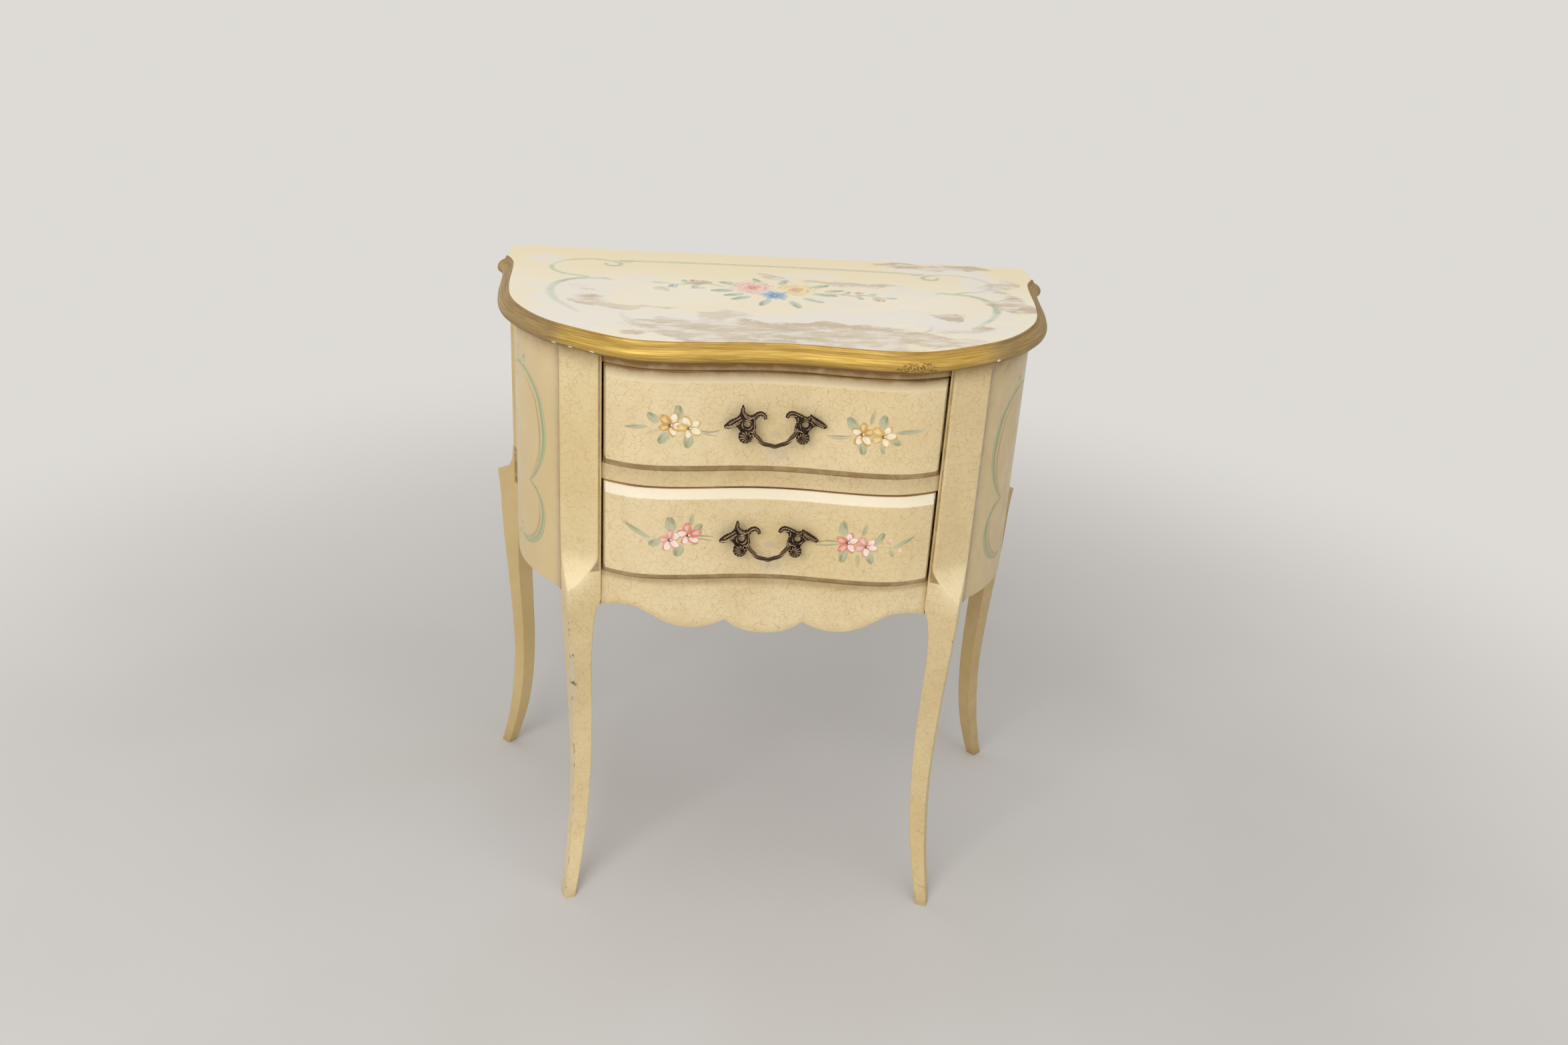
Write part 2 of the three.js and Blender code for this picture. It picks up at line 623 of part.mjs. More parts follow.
function makePull(height) {
  const seat = pullPlace(height);
  const { face, plane } = seat;
  let pull = makeBail(seat);
  for (const [sign, plateShares, eyeShare, shellShare] of [
    [-1, leftPlateShares, leftEyeShare, leftShellShare],
    [1, rightPlateShares, rightEyeShare, rightShellShare]]) {
    const [across, up, radiusShare] = shellShare;
    const radius = radiusShare * pullHalfSpacing;
    const shell = new THREE.SphereGeometry(1, roundSides, roundSides / 2).scale(radius, shellDepth, radius)
      .translate(across * pullHalfSpacing, plane, height + up * pullRise);
    const post = new THREE.CylinderGeometry(pullPostRadius, pullPostRadius, face - plane, roundSides)
      .translate(sign * pullHalfSpacing, (face + plane) / 2, height - pullPostDrop);
    pull = pull.add(makePullPlate(plateShares, eyeShare, seat)).add(solidFrom(shell))
      .add(solidFrom(post));
  }
  return pull;
}

// Drawers

const drawerFrontBack = -railFrontAt(0) - drawerFrontThickness;

function makeDrawer(prefix, bearing, openingHeight, pullHeightShare) {
  const frontLow = bearing + drawerBottomGap;
  const frontHigh = bearing + openingHeight - drawerTopGap;
  const boxLow = bearing + fitGap;
  const boxHigh = bearing + openingHeight - drawerHeadroom;
  const boxFront = -drawerFrontBack + fitGap;
  const sideInner = boxHalfWidth - drawerSideThickness;
  const bottomLow = boxLow + drawerBottomRise;
  const bottomHigh = bottomLow + drawerBottomThickness;
  const pullHeight = frontLow + pullHeightShare * (frontHigh - frontLow);

  const raised = { side: sideBevel, height: bevelHeight, depth: drawerProud };
  let front = bowedBoard(boxHalfWidth, frontLow, frontHigh, drawerFrontBack, railFrontAt, raised);
  let pull = makePull(pullHeight);
  const screwHeadPlane = -drawerFrontBack + pullScrewHeadHeight;
  const screwLength = screwHeadPlane - pullPlace(pullHeight).face + pullScrewGrip;
  for (const [hand, sign] of [['left', -1], ['right', 1]]) {
    const toPost = (geometry) => solidFrom(geometry.rotateX(Math.PI / 2)
      .translate(sign * pullHalfSpacing, screwHeadPlane, pullHeight - pullPostDrop));
    const hole = toPost(screwHole(pullScrewHead, pullScrewHeadHeight, pullScrewRadius, screwLength));
    front = front.subtract(hole);
    pull = pull.subtract(hole);
    const screw = screwGeometry(pullScrewHead, pullScrewHeadHeight, pullScrewRadius, screwLength);
    place(`${prefix}_pull_${hand}_screw`, toPost(screw), screwSteel);
  }
  place(`${prefix}_drawer_front`, front, creamPaint);
  place(`${prefix}_pull`, pull, darkBronze);

  const grooveEnd = sideInner + drawerGrooveDepth + fitGap;
  const groove = box(0, grooveEnd, boxFront - overrun, drawerBoxEnd + overrun, bottomLow - fitGap,
    bottomHigh + fitGap);
  const side = box(sideInner, boxHalfWidth, boxFront, drawerBoxEnd, boxLow, boxHigh).subtract(groove);
  placePair((hand) => `${prefix}_drawer_${hand}_side`, side, bareWood);
  place(`${prefix}_drawer_back`, box(-sideInner + fitGap, sideInner - fitGap,
    drawerBoxEnd - drawerBackThickness, drawerBoxEnd, bottomHigh + fitGap, boxHigh), bareWood);
  const bottomHalf = sideInner + drawerGrooveDepth;
  place(`${prefix}_drawer_bottom`, box(-bottomHalf, bottomHalf, boxFront, drawerBoxEnd,
    bottomLow, bottomHigh), plywood);
}

// Assembly

const topRailMiddle = railFrontAt(0) + railDepth / 2;
const topScrewPlaces = [
  [-openingHalfWidth / 2, topRailMiddle], [openingHalfWidth / 2, topRailMiddle],
  [-runnerInner - runnerWidth / 2, -topDepth / 2], [runnerInner + runnerWidth / 2, -topDepth / 2],
  [-openingHalfWidth / 2, (backRailFront + backRailBack) / 2],
  [openingHalfWidth / 2, (backRailFront + backRailBack) / 2]];
const topScrewLength = topRailThickness + topScrewBite;
const topScrewFoot = openingTop + fitGap;
const topScrewHoles = topScrewPlaces.map(([x, y]) => {
  const hole = screwHole(topScrewHead, topScrewHeadHeight, topScrewRadius, topScrewLength);
  return solidFrom(hole.translate(x, y, topScrewFoot));
});
const drilled = (solid) => topScrewHoles.reduce((rest, hole) => rest.subtract(hole), solid);
topScrewPlaces.forEach(([x, y], i) => {
  const screw = screwGeometry(topScrewHead, topScrewHeadHeight, topScrewRadius, topScrewLength);
  place(`top_screw_${i + 1}`, solidFrom(screw.translate(x, y, topScrewFoot)), screwSteel);
});
place('top_board', drilled(makeTopBoard()), topPaint);

placePair((hand) => `front_${hand}_leg`, makeFrontLeg(), creamPaint);
placePair((hand) => `back_${hand}_leg`, makeBackLeg(), smoothPaint);
placePair((hand) => `${hand}_side_panel`, makeSidePanel(), smoothPaint);
placePair((hand) => `${hand}_side_cleat`, makeSideCleat(), bareWood);

place('top_rail', drilled(makeRail(openingTop, caseTop)), creamPaint);
place('middle_rail', makeRail(middleRailTop - middleRailThickness, middleRailTop), creamPaint);
place('apron', makeApron(), creamPaint);

place('back_panel', box(-backRailHalf, backRailHalf, backPanelFront, -backPanelInset,
  panelBottom, caseTop), plywood);
place('back_top_rail', drilled(makeBackRail(openingTop, caseTop)), bareWood);
place('back_middle_rail', makeBackRail(middleRailTop - backRailHeight, middleRailTop), bareWood);
place('back_bottom_rail', makeBackRail(apronTop - backRailHeight, apronTop), bareWood);

placePair((hand) => `${hand}_kicker`, drilled(makeKicker()), bareWood);
placePair((hand) => `upper_${hand}_runner`, makeRunner(middleRailTop, railBack), bareWood);
placePair((hand) => `lower_${hand}_runner`, makeRunner(apronTop, apronBack), bareWood);
placePair((hand) => `upper_${hand}_stop`, makeStop(middleRailTop), bareWood);
placePair((hand) => `lower_${hand}_stop`, makeStop(apronTop), bareWood);
placePair((hand) => `${hand}_glue_block`, makeGlueBlock(), bareWood);

makeDrawer('upper', middleRailTop, openingTop - middleRailTop, upperPullHeightShare);
makeDrawer('lower', apronTop, middleRailTop - middleRailThickness - apronTop, lowerPullHeightShare);

const extent = new THREE.Box3().setFromObject(chest);
chest.position.y = -(extent.min.y + extent.max.y) / 2;

export default chest;
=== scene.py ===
# %% [markdown]
# # A painted commode chest
# This lesson dresses a small painted chest with two drawers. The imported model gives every
# piece its place. The curved, painted pieces are built again here as finer meshes from the
# same shares, so that their arrises can be rounded and their paint can be brushed on.
# Lengths are written in millimetres and turned into metres by MM.

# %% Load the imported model
import math

import bmesh
import bpy
import numpy as np
from mathutils import Matrix, Vector
from mathutils.geometry import delaunay_2d_cdt


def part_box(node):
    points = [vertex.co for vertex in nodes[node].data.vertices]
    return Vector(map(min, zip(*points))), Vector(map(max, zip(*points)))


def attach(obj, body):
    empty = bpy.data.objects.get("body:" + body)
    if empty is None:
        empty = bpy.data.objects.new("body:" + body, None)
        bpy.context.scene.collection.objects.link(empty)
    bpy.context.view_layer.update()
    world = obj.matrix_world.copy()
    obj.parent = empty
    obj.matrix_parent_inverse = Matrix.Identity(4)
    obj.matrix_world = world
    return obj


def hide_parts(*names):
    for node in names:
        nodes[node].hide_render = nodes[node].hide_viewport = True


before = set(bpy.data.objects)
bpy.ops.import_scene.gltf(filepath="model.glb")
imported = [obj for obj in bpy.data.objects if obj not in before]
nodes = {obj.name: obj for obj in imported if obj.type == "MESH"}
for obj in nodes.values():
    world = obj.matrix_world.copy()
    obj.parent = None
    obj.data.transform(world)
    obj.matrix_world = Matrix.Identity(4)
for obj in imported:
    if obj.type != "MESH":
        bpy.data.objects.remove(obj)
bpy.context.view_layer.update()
MM = 0.001


def box_mm(name):
    """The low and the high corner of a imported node, in millimetres."""
    return [np.array(corner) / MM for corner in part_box(name)]


def new_object(name, data):
    """An object in the scene, at the origin until it is moved."""
    made = bpy.data.objects.new(name, data)
    bpy.context.scene.collection.objects.link(made)
    return made


print("nodes in the frame:", len(nodes))

# %% [markdown]
# ## Camera
# The camera stands where the photograph was taken from: about 1.13 m up, looking 26 degrees
# down, and tilted a little. It could be aimed by eye with a target, but these numbers were
# fitted to the corners of the real object, so edges land where the photograph has them.

# %% Place the camera
EYE = Vector((-0.06802, -1.46054, 1.1295))
yaw, pitch, roll = math.radians(-3.631), math.radians(25.982), math.radians(3.689)
FOCAL_PIXELS, PICTURE_PIXELS, SENSOR = 2183.5, 2352, 36
forward = Vector((-math.sin(yaw) * math.cos(pitch), math.cos(yaw) * math.cos(pitch), -math.sin(pitch)))
level = Vector((math.cos(yaw), math.sin(yaw), 0))
above = level.cross(forward)
right = level * math.cos(roll) + above * math.sin(roll)
up = above * math.cos(roll) - level * math.sin(roll)
camera_data = bpy.data.cameras.new("camera")
camera_data.sensor_width = SENSOR
camera_data.lens = SENSOR * FOCAL_PIXELS / PICTURE_PIXELS
camera = new_object("camera", camera_data)
camera.matrix_world = Matrix.Translation(EYE) @ Matrix((right, up, -forward)).transposed().to_4x4()
bpy.context.scene.camera = camera
print("camera lens:", round(camera_data.lens, 2), "mm")

# %% [markdown]
# ## Shader helpers
# Paint, gilding and bronze all mix a few patterns. Written out node by node they would be
# long. Here a Value stands for what a node gives, and plus, minus and times between Values
# add the nodes for it, so that a mix reads like a sum.

# %% Small helpers for materials


def srgb(red, green, blue):
    """A colour as it is seen on screen, from 0 to 255, in the linear values that shaders use."""
    linear = [c / 12.92 if c <= 0.04045 else ((c + 0.055) / 1.055) ** 2.4
              for c in (red / 255, green / 255, blue / 255)]
    return (*linear, 1.0)


class Value:
    """What a node gives. Arithmetic and the helpers below go on from it in the same tree."""

    def __init__(self, tree, socket):
        self.tree, self.socket = tree, socket

    def __add__(self, other):
        return step("ADD", self, other)

    def __sub__(self, other):
        return step("SUBTRACT", self, other)

    def __mul__(self, other):
        return step("MULTIPLY", self, other)


def add(tree, kind, inputs=None, **settings):
    """Adds a node. An input is a number, a colour or a Value."""
    made = tree.nodes.new(kind)
    for name, setting in settings.items():
        setattr(made, name, setting)
    for key, given in (inputs or {}).items():
        if isinstance(given, Value):
            tree.links.new(given.socket, made.inputs[key])
        else:
            made.inputs[key].default_value = given
    return made


def value(tree, kind, inputs=None, output=0, **settings):
    """Adds a node and returns one of its outputs, to go on from."""
    return Value(tree, add(tree, kind, inputs, **settings).outputs[output])


def step(operation, a, b=0.0):
    """One step of arithmetic on Value a."""
    return value(a.tree, "ShaderNodeMath", {0: a, 1: b}, operation=operation)


def blend(amount, a, b):
    """Colour a, with so much of colour b laid over it."""
    return value(amount.tree, "ShaderNodeMix", {0: amount, 6: a, 7: b}, 2, data_type="RGBA")


def between(given, low, high, start=0.0, end=1.0):
    """Eases a Value from start at low to end at high."""
    inputs = {"Value": given, "From Min": low, "From Max": high, "To Min": start, "To Max": end}
    return value(given.tree, "ShaderNodeMapRange", inputs, interpolation_type="SMOOTHSTEP")


def stretched(where, scale):
    """The same place with each axis scaled, which draws a pattern out along the small ones."""
    return value(where.tree, "ShaderNodeMapping", {"Vector": where, "Scale": scale})


def noise(where, scale, detail=3.0, roughness=0.55):
    """A soft random pattern, with so many spots to the metre or so many along each axis."""
    if isinstance(scale, tuple):
        where, scale = stretched(where, scale), 1.0
    inputs = {"Vector": where, "Scale": scale, "Detail": detail, "Roughness": roughness}
    return value(where.tree, "ShaderNodeTexNoise", inputs, "Fac")


def attribute(where, name, output="Fac"):
    """What the mesh holds under that name: a number, a colour or a vector."""
    return value(where.tree, "ShaderNodeAttribute", None, output, attribute_name=name)


def new_material(name):
    """An empty material, and the object's own coordinates in its tree."""
    material = bpy.data.materials.new(name)
    material.use_nodes = True
    material.node_tree.nodes.clear()
    return material, value(material.node_tree, "ShaderNodeTexCoord", None, "Object")


def dress(material, inputs, height, depth, strength):
    """Ends a material with its surface, on which a height pattern catches the light."""
    tree = material.node_tree
    bump = {"Height": height, "Distance": depth, "Strength": strength}
    inputs = {**inputs, "Normal": value(tree, "ShaderNodeBump", bump)}
    add(tree, "ShaderNodeOutputMaterial", {"Surface": value(tree, "ShaderNodeBsdfPrincipled", inputs)})
    return material


print("shader helpers ready")

# %% [markdown]
# ## Crackled paint
# The chest is painted cream over a darker ground, and a crackle varnish has drawn the cream
# into small islands. A drawn texture could hold this, but a Voronoi pattern's cell borders
# are just such a net, in any size. The net is bent by noise and broken up where the real one
# fades. Its cells are long from front to back, so that no cell wall lies flat in a front and
# shows as a smear. The mesh brings masks along: painted shade in corners, recesses and under
# the top, with some grime, wear on arrises, and the flower painting with a few painted
# highlights, which hides most of the crackle under it.

# %% Crackled paint


def crackle(where, cell, width, share):
    """The fine lines of one net: 1 on a line. Only about a share of the net shows."""
    tree = where.tree
    bend = value(tree, "ShaderNodeTexNoise", {"Vector": where, "Scale": 1.2 / cell, "Detail": 1.0}, "Color")
    bent = value(tree, "ShaderNodeVectorMath", {0: bend, "Scale": 0.56 * cell}, operation="SCALE")
    moved = stretched(value(tree, "ShaderNodeVectorMath", {0: where, 1: bent}), (1.0, 0.3, 1.0))
    inputs = {"Vector": moved, "Scale": 1 / cell}
    net = value(tree, "ShaderNodeTexVoronoi", inputs, "Distance", feature="DISTANCE_TO_EDGE")
    line = between(net, width / cell, 0.3 * width / cell)
    shows = between(noise(where, 0.45 / cell, 2.0), 0.58 - share * 0.3, 0.68 - share * 0.3)
    opens = between(noise(where, 1.1 / cell, 1.0), 0.4, 0.52, 0.12, 1.0)
    return line * shows * opens


def painted(name, ground, shade, crackle_strength, roughness=0.4):
    """Brushed paint with crackle, wear, grime and painted shade, and whatever is painted on the mesh, a few
    painted highlights among it.
    """
    material, where = new_material(name)
    colour = blend(between(noise(where, 7.0), 0.35, 0.68), ground, shade)
    mottle = between(noise(where, 55.0, 4.0, 0.6), 0.42, 0.66)
    colour = blend(mottle * 0.22, colour, srgb(212, 188, 136))
    opaque = attribute(where, "paint", "Alpha")
    rubbed = between(noise(where, 420.0, 2.0), 0.3, 0.5, 0.86, 1.0)
    colour = blend(opaque * rubbed, colour, attribute(where, "paint", "Color"))
    large, small = crackle(where, 0.0066, 0.00024, 1.0), crackle(where, 0.0044, 0.0002, 0.6)
    faint = between(noise(where, 38.0, 2.0), 0.35, 0.65, 0.7, 1.0)
    bared = between(opaque, 0.2, 0.85, 1.0, 0.06)
    lines = step("MAXIMUM", large, small * 0.48) * faint * crackle_strength * bared
    colour = blend(lines * 0.45, colour, srgb(182, 145, 84))
    # Darkens towards umber where the mesh asks: some grime, but mostly painted shade in corners, creases,
    # recesses and under the top.
    patchy = between(noise(where, 60.0, 4.0, 0.65), 0.2, 0.7, 0.55, 1.0)
    colour = blend(attribute(where, "painted_shade_and_grime") * patchy, colour, srgb(136, 102, 48))
    chips = noise(where, 240.0, 4.0, 0.65)
    worn = between(chips + attribute(where, "wear") * 0.56, 0.935, 0.975)
    bare = blend(between(noise(where, 90.0), 0.38, 0.46), srgb(122, 104, 82), srgb(214, 202, 182))
    colour = blend(worn, colour, bare)
    sheen = between(noise(where, 30.0), 0.3, 0.7, roughness - 0.06, roughness + 0.1)
    strokes = noise(where, (60.0, 60.0, 700.0), 2.0)
    inputs = {"Base Color": colour, "Roughness": sheen + lines * 0.3}
    return dress(material, inputs, strokes * 0.25 - lines - worn * 0.8, 0.00022, 0.7)


crackled_cream = painted("crackled_cream", srgb(234, 214, 171), srgb(226, 203, 153), 1.0)
post_cream = painted("post_cream", srgb(231, 210, 162), srgb(222, 198, 145), 0.9)
smooth_cream = painted("smooth_cream", srgb(226, 204, 158), srgb(217, 192, 142), 0.16, 0.34)
ochre_cream = painted("ochre_cream", srgb(222, 196, 140), srgb(211, 182, 122), 0.1, 0.36)
print("painted finishes:", crackled_cream.name, post_cream.name, smooth_cream.name, ochre_cream.name)

# %% [markdown]
# ## The painted top
# The top was ivory. Wet things have stood on it, so the varnish is worn off in broad streaks
# that show grey beige, with chalky scuffs round them. Two masks on the mesh say roughly where
# this is, and noise drawn out along the boards gives each patch its torn edge.

# %% Ivory top, worn in patches


def make_top_paint():
    """Ivory paint with worn smears and chalky scuffs."""
    material, where = new_material("ivory_top")
    colour = blend(between(noise(where, 5.0), 0.35, 0.65), srgb(250, 243, 222), srgb(249, 237, 207))
    backward = value(where.tree, "ShaderNodeSeparateXYZ", {0: where}, "Y")
    colour = blend(between(backward, -0.02, 0.12) * 0.8, colour, srgb(249, 232, 188))
    rubbed = between(noise(where, (150.0, 340.0, 200.0), 4.0, 0.65), 0.38, 0.56, 0.5, 1.0)
    drawn, art = attribute(where, "paint", "Alpha") * rubbed, attribute(where, "paint", "Color")
    colour = blend(drawn, colour, art)
    crumbs = noise(where, (75.0, 190.0, 120.0), 6.0, 0.72)
    grains = noise(where, (260.0, 620.0, 400.0), 4.0, 0.68)
    clouds = noise(where, (13.0, 40.0, 20.0), 4.0, 0.6)
    torn = crumbs * 0.4 + grains * 0.32 + clouds * 0.4
    chalk = between(attribute(where, "scuff") * 0.6 + torn, 0.86, 1.02)
    colour = blend(chalk * 0.85, colour, srgb(243, 237, 225))
    bare = between(attribute(where, "worn") * 0.6 + torn, 0.86, 0.98)
    ground = blend(between(clouds, 0.38, 0.62), srgb(225, 212, 190), srgb(205, 187, 158))
    haze = between(noise(where, (34.0, 90.0, 40.0), 6.0, 0.68), 0.46, 0.6)
    ground = blend(haze * 0.85, ground, srgb(240, 233, 221))
    colour = blend(drawn * 0.4, blend(bare * 0.9, colour, ground), art)
    rough = between(step("MAXIMUM", bare, chalk), 0.0, 1.0, 0.38, 0.62)
    inputs = {"Base Color": colour, "Roughness": rough}
    return dress(material, inputs, crumbs * 0.25 - bare * 0.6, 0.0002, 0.6)


ivory_top = make_top_paint()
print("top finish:", ivory_top.name)

# %% [markdown]
# ## Gilding
# The moulding carries gold paint, bright where it faces forward and rubbed brown round the
# sides. Its lower, down-turned part is painted browner and darker as shade, and a dark line
# runs where it meets the field. Brush marks run along the moulding, so the pattern reads a path
# that the mesh holds: how far along the edge and how far down the profile each point lies. Metal
# colour comes from reflections, so the gold is metallic only in part, as bronze powder in
# varnish is.

# %% Gilt moulding


def make_gilding():
    """Gold paint with brush marks, brown rubbed sides, a dark line along the field, painted shade on its
    underside, a flaked spot and white chips.
    """
    material, where = new_material("gilt_edge")
    path = attribute(where, "path", "Vector")
    brushed = noise(path, (26.0, 620.0, 1.0), 5.0, 0.62)
    cloudy = noise(path, (18.0, 110.0, 1.0), 4.0, 0.6)
    colour = blend(between(brushed, 0.38, 0.66), srgb(181, 143, 60), srgb(213, 179, 94))
    # Browner and duller towards the sides, as rubbed, and on the lower part of the profile, as painted shade.
    brown = between(attribute(where, "dull_and_shaded") + cloudy * 0.5, 0.45, 0.95)
    tarnish_and_shade = blend(between(brushed, 0.36, 0.66), srgb(146, 119, 70), srgb(175, 146, 94))
    colour = blend(brown, colour, tarnish_and_shade)
    streaky = between(noise(path, (60.0, 500.0, 1.0)), 0.35, 0.6, 0.25, 1.0)
    # A dark line where the moulding meets the field, and painted shade on the underside.
    colour = blend(attribute(where, "painted_shade_and_grime") * streaky, colour, srgb(120, 84, 40))
    ragged = noise(where, 520.0, 3.0, 0.7)
    torn = noise(path, (90.0, 260.0, 1.0), 4.0, 0.7) * 0.9
    flaked = between(attribute(where, "flake") * 0.7 + torn, 0.86, 0.93)
    crumbs = blend(between(ragged, 0.46, 0.56), srgb(136, 104, 46), srgb(206, 172, 90))
    colour = blend(flaked, colour, crumbs)
    chipped = between(attribute(where, "chip") + ragged * 0.3, 0.72, 0.76)
    colour = blend(chipped, colour, srgb(240, 238, 232))
    rough = between(brown + brushed * 0.3, 0.0, 1.2, 0.4, 0.58)
    inputs = {"Base Color": colour, "Metallic": brown * -0.15 + 0.5 - chipped, "Roughness": rough}
    return dress(material, inputs, brushed * 0.5 + flaked * ragged, 0.0006, 0.6)


gilt_edge = make_gilding()
print("gilding:", gilt_edge.name)

# %% [markdown]
# ## Wood and plywood
# Inside, the drawers and frame are plain wood that was never painted, darkened by age. Grain
# is noise drawn out along the length of each piece. Thin boards, the drawer bottoms and the
# back, are plywood with a broad, flat grain.

# %% Bare wood, by the way its grain runs


def wooden(name, along, light, dark, figure=1.0):
    """Wood whose grain runs along one axis, with pores, growth bands and a few stains."""
    material, where = new_material(name)
    pores = noise(where, tuple(9.0 if axis == along else 260.0 for axis in "xyz"), 4.0, 0.65)
    bands = noise(where, tuple(figure * (1.6 if axis == along else 34.0) for axis in "xyz"), 3.0, 0.5)
    colour = blend(between(step("SINE", bands * 38.0), -0.9, 0.9), light, dark)
    colour = blend(between(pores, 0.5, 0.72), colour, srgb(96, 66, 36))
    stain = between(noise(where, 9.0, 4.0), 0.52, 0.75)
    colour = blend(stain * 0.45, colour, srgb(118, 88, 54))
    inputs = {"Base Color": colour, "Roughness": between(pores, 0.3, 0.7, 0.58, 0.82)}
    return dress(material, inputs, pores * -1.0, 0.0003, 0.5)


raw_x = wooden("bare_wood_across", "x", srgb(196, 164, 118), srgb(172, 136, 90))
raw_y = wooden("bare_wood_deep", "y", srgb(200, 170, 124), srgb(176, 141, 95))
raw_z = wooden("bare_wood_upright", "z", srgb(194, 160, 112), srgb(168, 132, 86))
ply = wooden("plywood_sheet", "x", srgb(204, 176, 132), srgb(184, 152, 106), 0.6)
for name, node in nodes.items():
    if name.endswith("_side") or any(word in name for word in ("runner", "kicker", "cleat")):
        finish = raw_y
    elif name.endswith("drawer_bottom") or name == "back_panel":
        finish = ply
    else:
        finish = raw_x
    node.data.materials.clear()
    node.data.materials.append(finish)
print("wood on", len(nodes), "nodes, before the painted ones are replaced")

# %% [markdown]
# ## Curves from shares
# The plan of the chest is a list of points given as shares of its half width and depth. A
# cubic through the points gives a curve as fine as the mesh needs, and the same curve moved
# sideways gives the case behind the overhang. Both helpers mirror the ones that made the
# solids, with more points.

# %% Plan curves
HALF_WIDTH, DEPTH, HEIGHT = 288.2, 303.2, 680.0
back_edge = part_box("back_panel")[1].y / MM + 4.0
TOP_FRONT_SHARES = [(0, 0.9687), (0.104, 0.9736), (0.208, 0.9861), (0.312, 0.997), (0.3886, 1),
                    (0.468, 0.9937), (0.538, 0.9723), (0.59, 0.948), (0.659, 0.91)]
TOP_SIDE_SHARES = [(0.7356, 0.864), (0.791, 0.818), (0.8397, 0.7635), (0.881, 0.7025),
                   (0.909, 0.648), (0.93, 0.584), (0.943, 0.508), (0.951, 0.429), (0.9555, 0.346),
                   (0.9605, 0.272), (0.9685, 0.21), (0.984, 0.168)]
RAW_SIDE, OVERHANG = 42.0, 6.7


def smooth(rows, steps):
    """Points on a smooth curve through the rows, so many to each stretch."""
    rows = np.asarray(rows, float)
    start, end = rows[:-1], rows[1:]
    before, after = np.vstack([rows[:1], rows[:-2]]), np.vstack([rows[2:], rows[-1:]])
    lean_in, lean_out = (end - before) / 2, (after - start) / 2
    t = np.linspace(0, 1, steps, endpoint=False)[None, :, None]
    points = ((2 * t**3 - 3 * t**2 + 1) * start[:, None] + (t**3 - 2 * t**2 + t) * lean_in[:, None]
              + (3 * t**2 - 2 * t**3) * end[:, None] + (t**3 - t**2) * lean_out[:, None])
    return np.vstack([points.reshape(-1, rows.shape[1]), rows[-1:]])


def offset_curve(points, distance):
    """The curve moved to the left of its direction of travel."""
    before = np.vstack([points[:1], points[:-1]])
    after = np.vstack([points[1:], points[-1:]])
    run = after - before
    normal = np.column_stack([-run[:, 1], run[:, 0]]) / np.hypot(run[:, 0], run[:, 1])[:, None]
    return points + normal * distance


def lengths(points):
    """How far along the curve each point lies."""
    return np.concatenate([[0], np.cumsum(np.hypot(*np.diff(points, axis=0).T))])


def resample(points, places):
    """Points at the given distances along a curve."""
    run = lengths(points)
    return np.column_stack([np.interp(places, run, points[:, k]) for k in range(points.shape[1])])


def in_plan(shares):
    """Points in the plan from shares of the half width and of the depth."""
    return np.array([(x * HALF_WIDTH, back_edge - y * DEPTH) for x, y in shares])


control = np.vstack([in_plan(TOP_FRONT_SHARES + TOP_SIDE_SHARES), (HALF_WIDTH, back_edge - RAW_SIDE)])
across = control[1] * (-1, 1)
right_edge = smooth(np.vstack([across, control]), 24)[24:]
top_edge = np.vstack([right_edge[1:][::-1] * (-1, 1), right_edge])
rail_curve = offset_curve(top_edge, OVERHANG)


def rail_front(x):
    """How far forward the drawer rails reach at a place across the chest."""
    middle = np.abs(rail_curve[:, 0]) < 230
    return np.interp(x, rail_curve[middle, 0], rail_curve[middle, 1])


print("front of the rails in the middle:", round(float(rail_front(0.0)), 1), "mm")

# %% [markdown]
# ## Mesh helpers
# Most boards here are a curved outer face with a plain inner one and straight edges between.
# One helper turns a grid of outer points and the inner border into a closed mesh, another
# joins closed shapes into one. Every vertex may carry masks for the paint.

# %% Mesh helpers


def grid_faces(rows, columns, start=0, closed=False):
    """Quads over a grid of points, whose numbers run along each row."""
    i, j = np.meshgrid(np.arange(rows - 1), np.arange(columns if closed else columns - 1), indexing="ij")
    here, after = i * columns + j, i * columns + (j + 1) % columns
    return (np.stack([here, after, after + columns, here + columns], -1).reshape(-1, 4) + start).tolist()


def make_piece(name, places, faces, materials, face_material=None, marks=None, sharp=38):
    """A closed mesh in metres from places in millimetres, facing outwards, with its masks."""
    mesh = bpy.data.meshes.new(name)
    mesh.from_pydata((np.asarray(places, float) * MM).tolist(), [], faces)
    for material in materials:
        mesh.materials.append(material)
    if face_material is not None:
        mesh.polygons.foreach_set("material_index", np.asarray(face_material, np.int32))
    kinds = {1: ("FLOAT", "value"), 4: ("FLOAT_COLOR", "color"), 3: ("FLOAT_VECTOR", "vector")}
    for mark, values in (marks or {}).items():
        values = np.asarray(values, np.float32)
        kind, field = kinds[values.size // len(places)]
        mesh.attributes.new(mark, kind, "POINT").data.foreach_set(field, values.ravel())
    work = bmesh.new()
    work.from_mesh(mesh)
    bmesh.ops.remove_doubles(work, verts=work.verts, dist=1e-6)
    bmesh.ops.recalc_face_normals(work, faces=work.faces)
    limit = math.radians(sharp)
    for edge in work.edges:
        edge.smooth = len(edge.link_faces) != 2 or edge.calc_face_angle(0.0) < limit
    for face in work.faces:
        face.smooth = True
    work.to_mesh(mesh)
    work.free()
    return new_object(name, mesh)


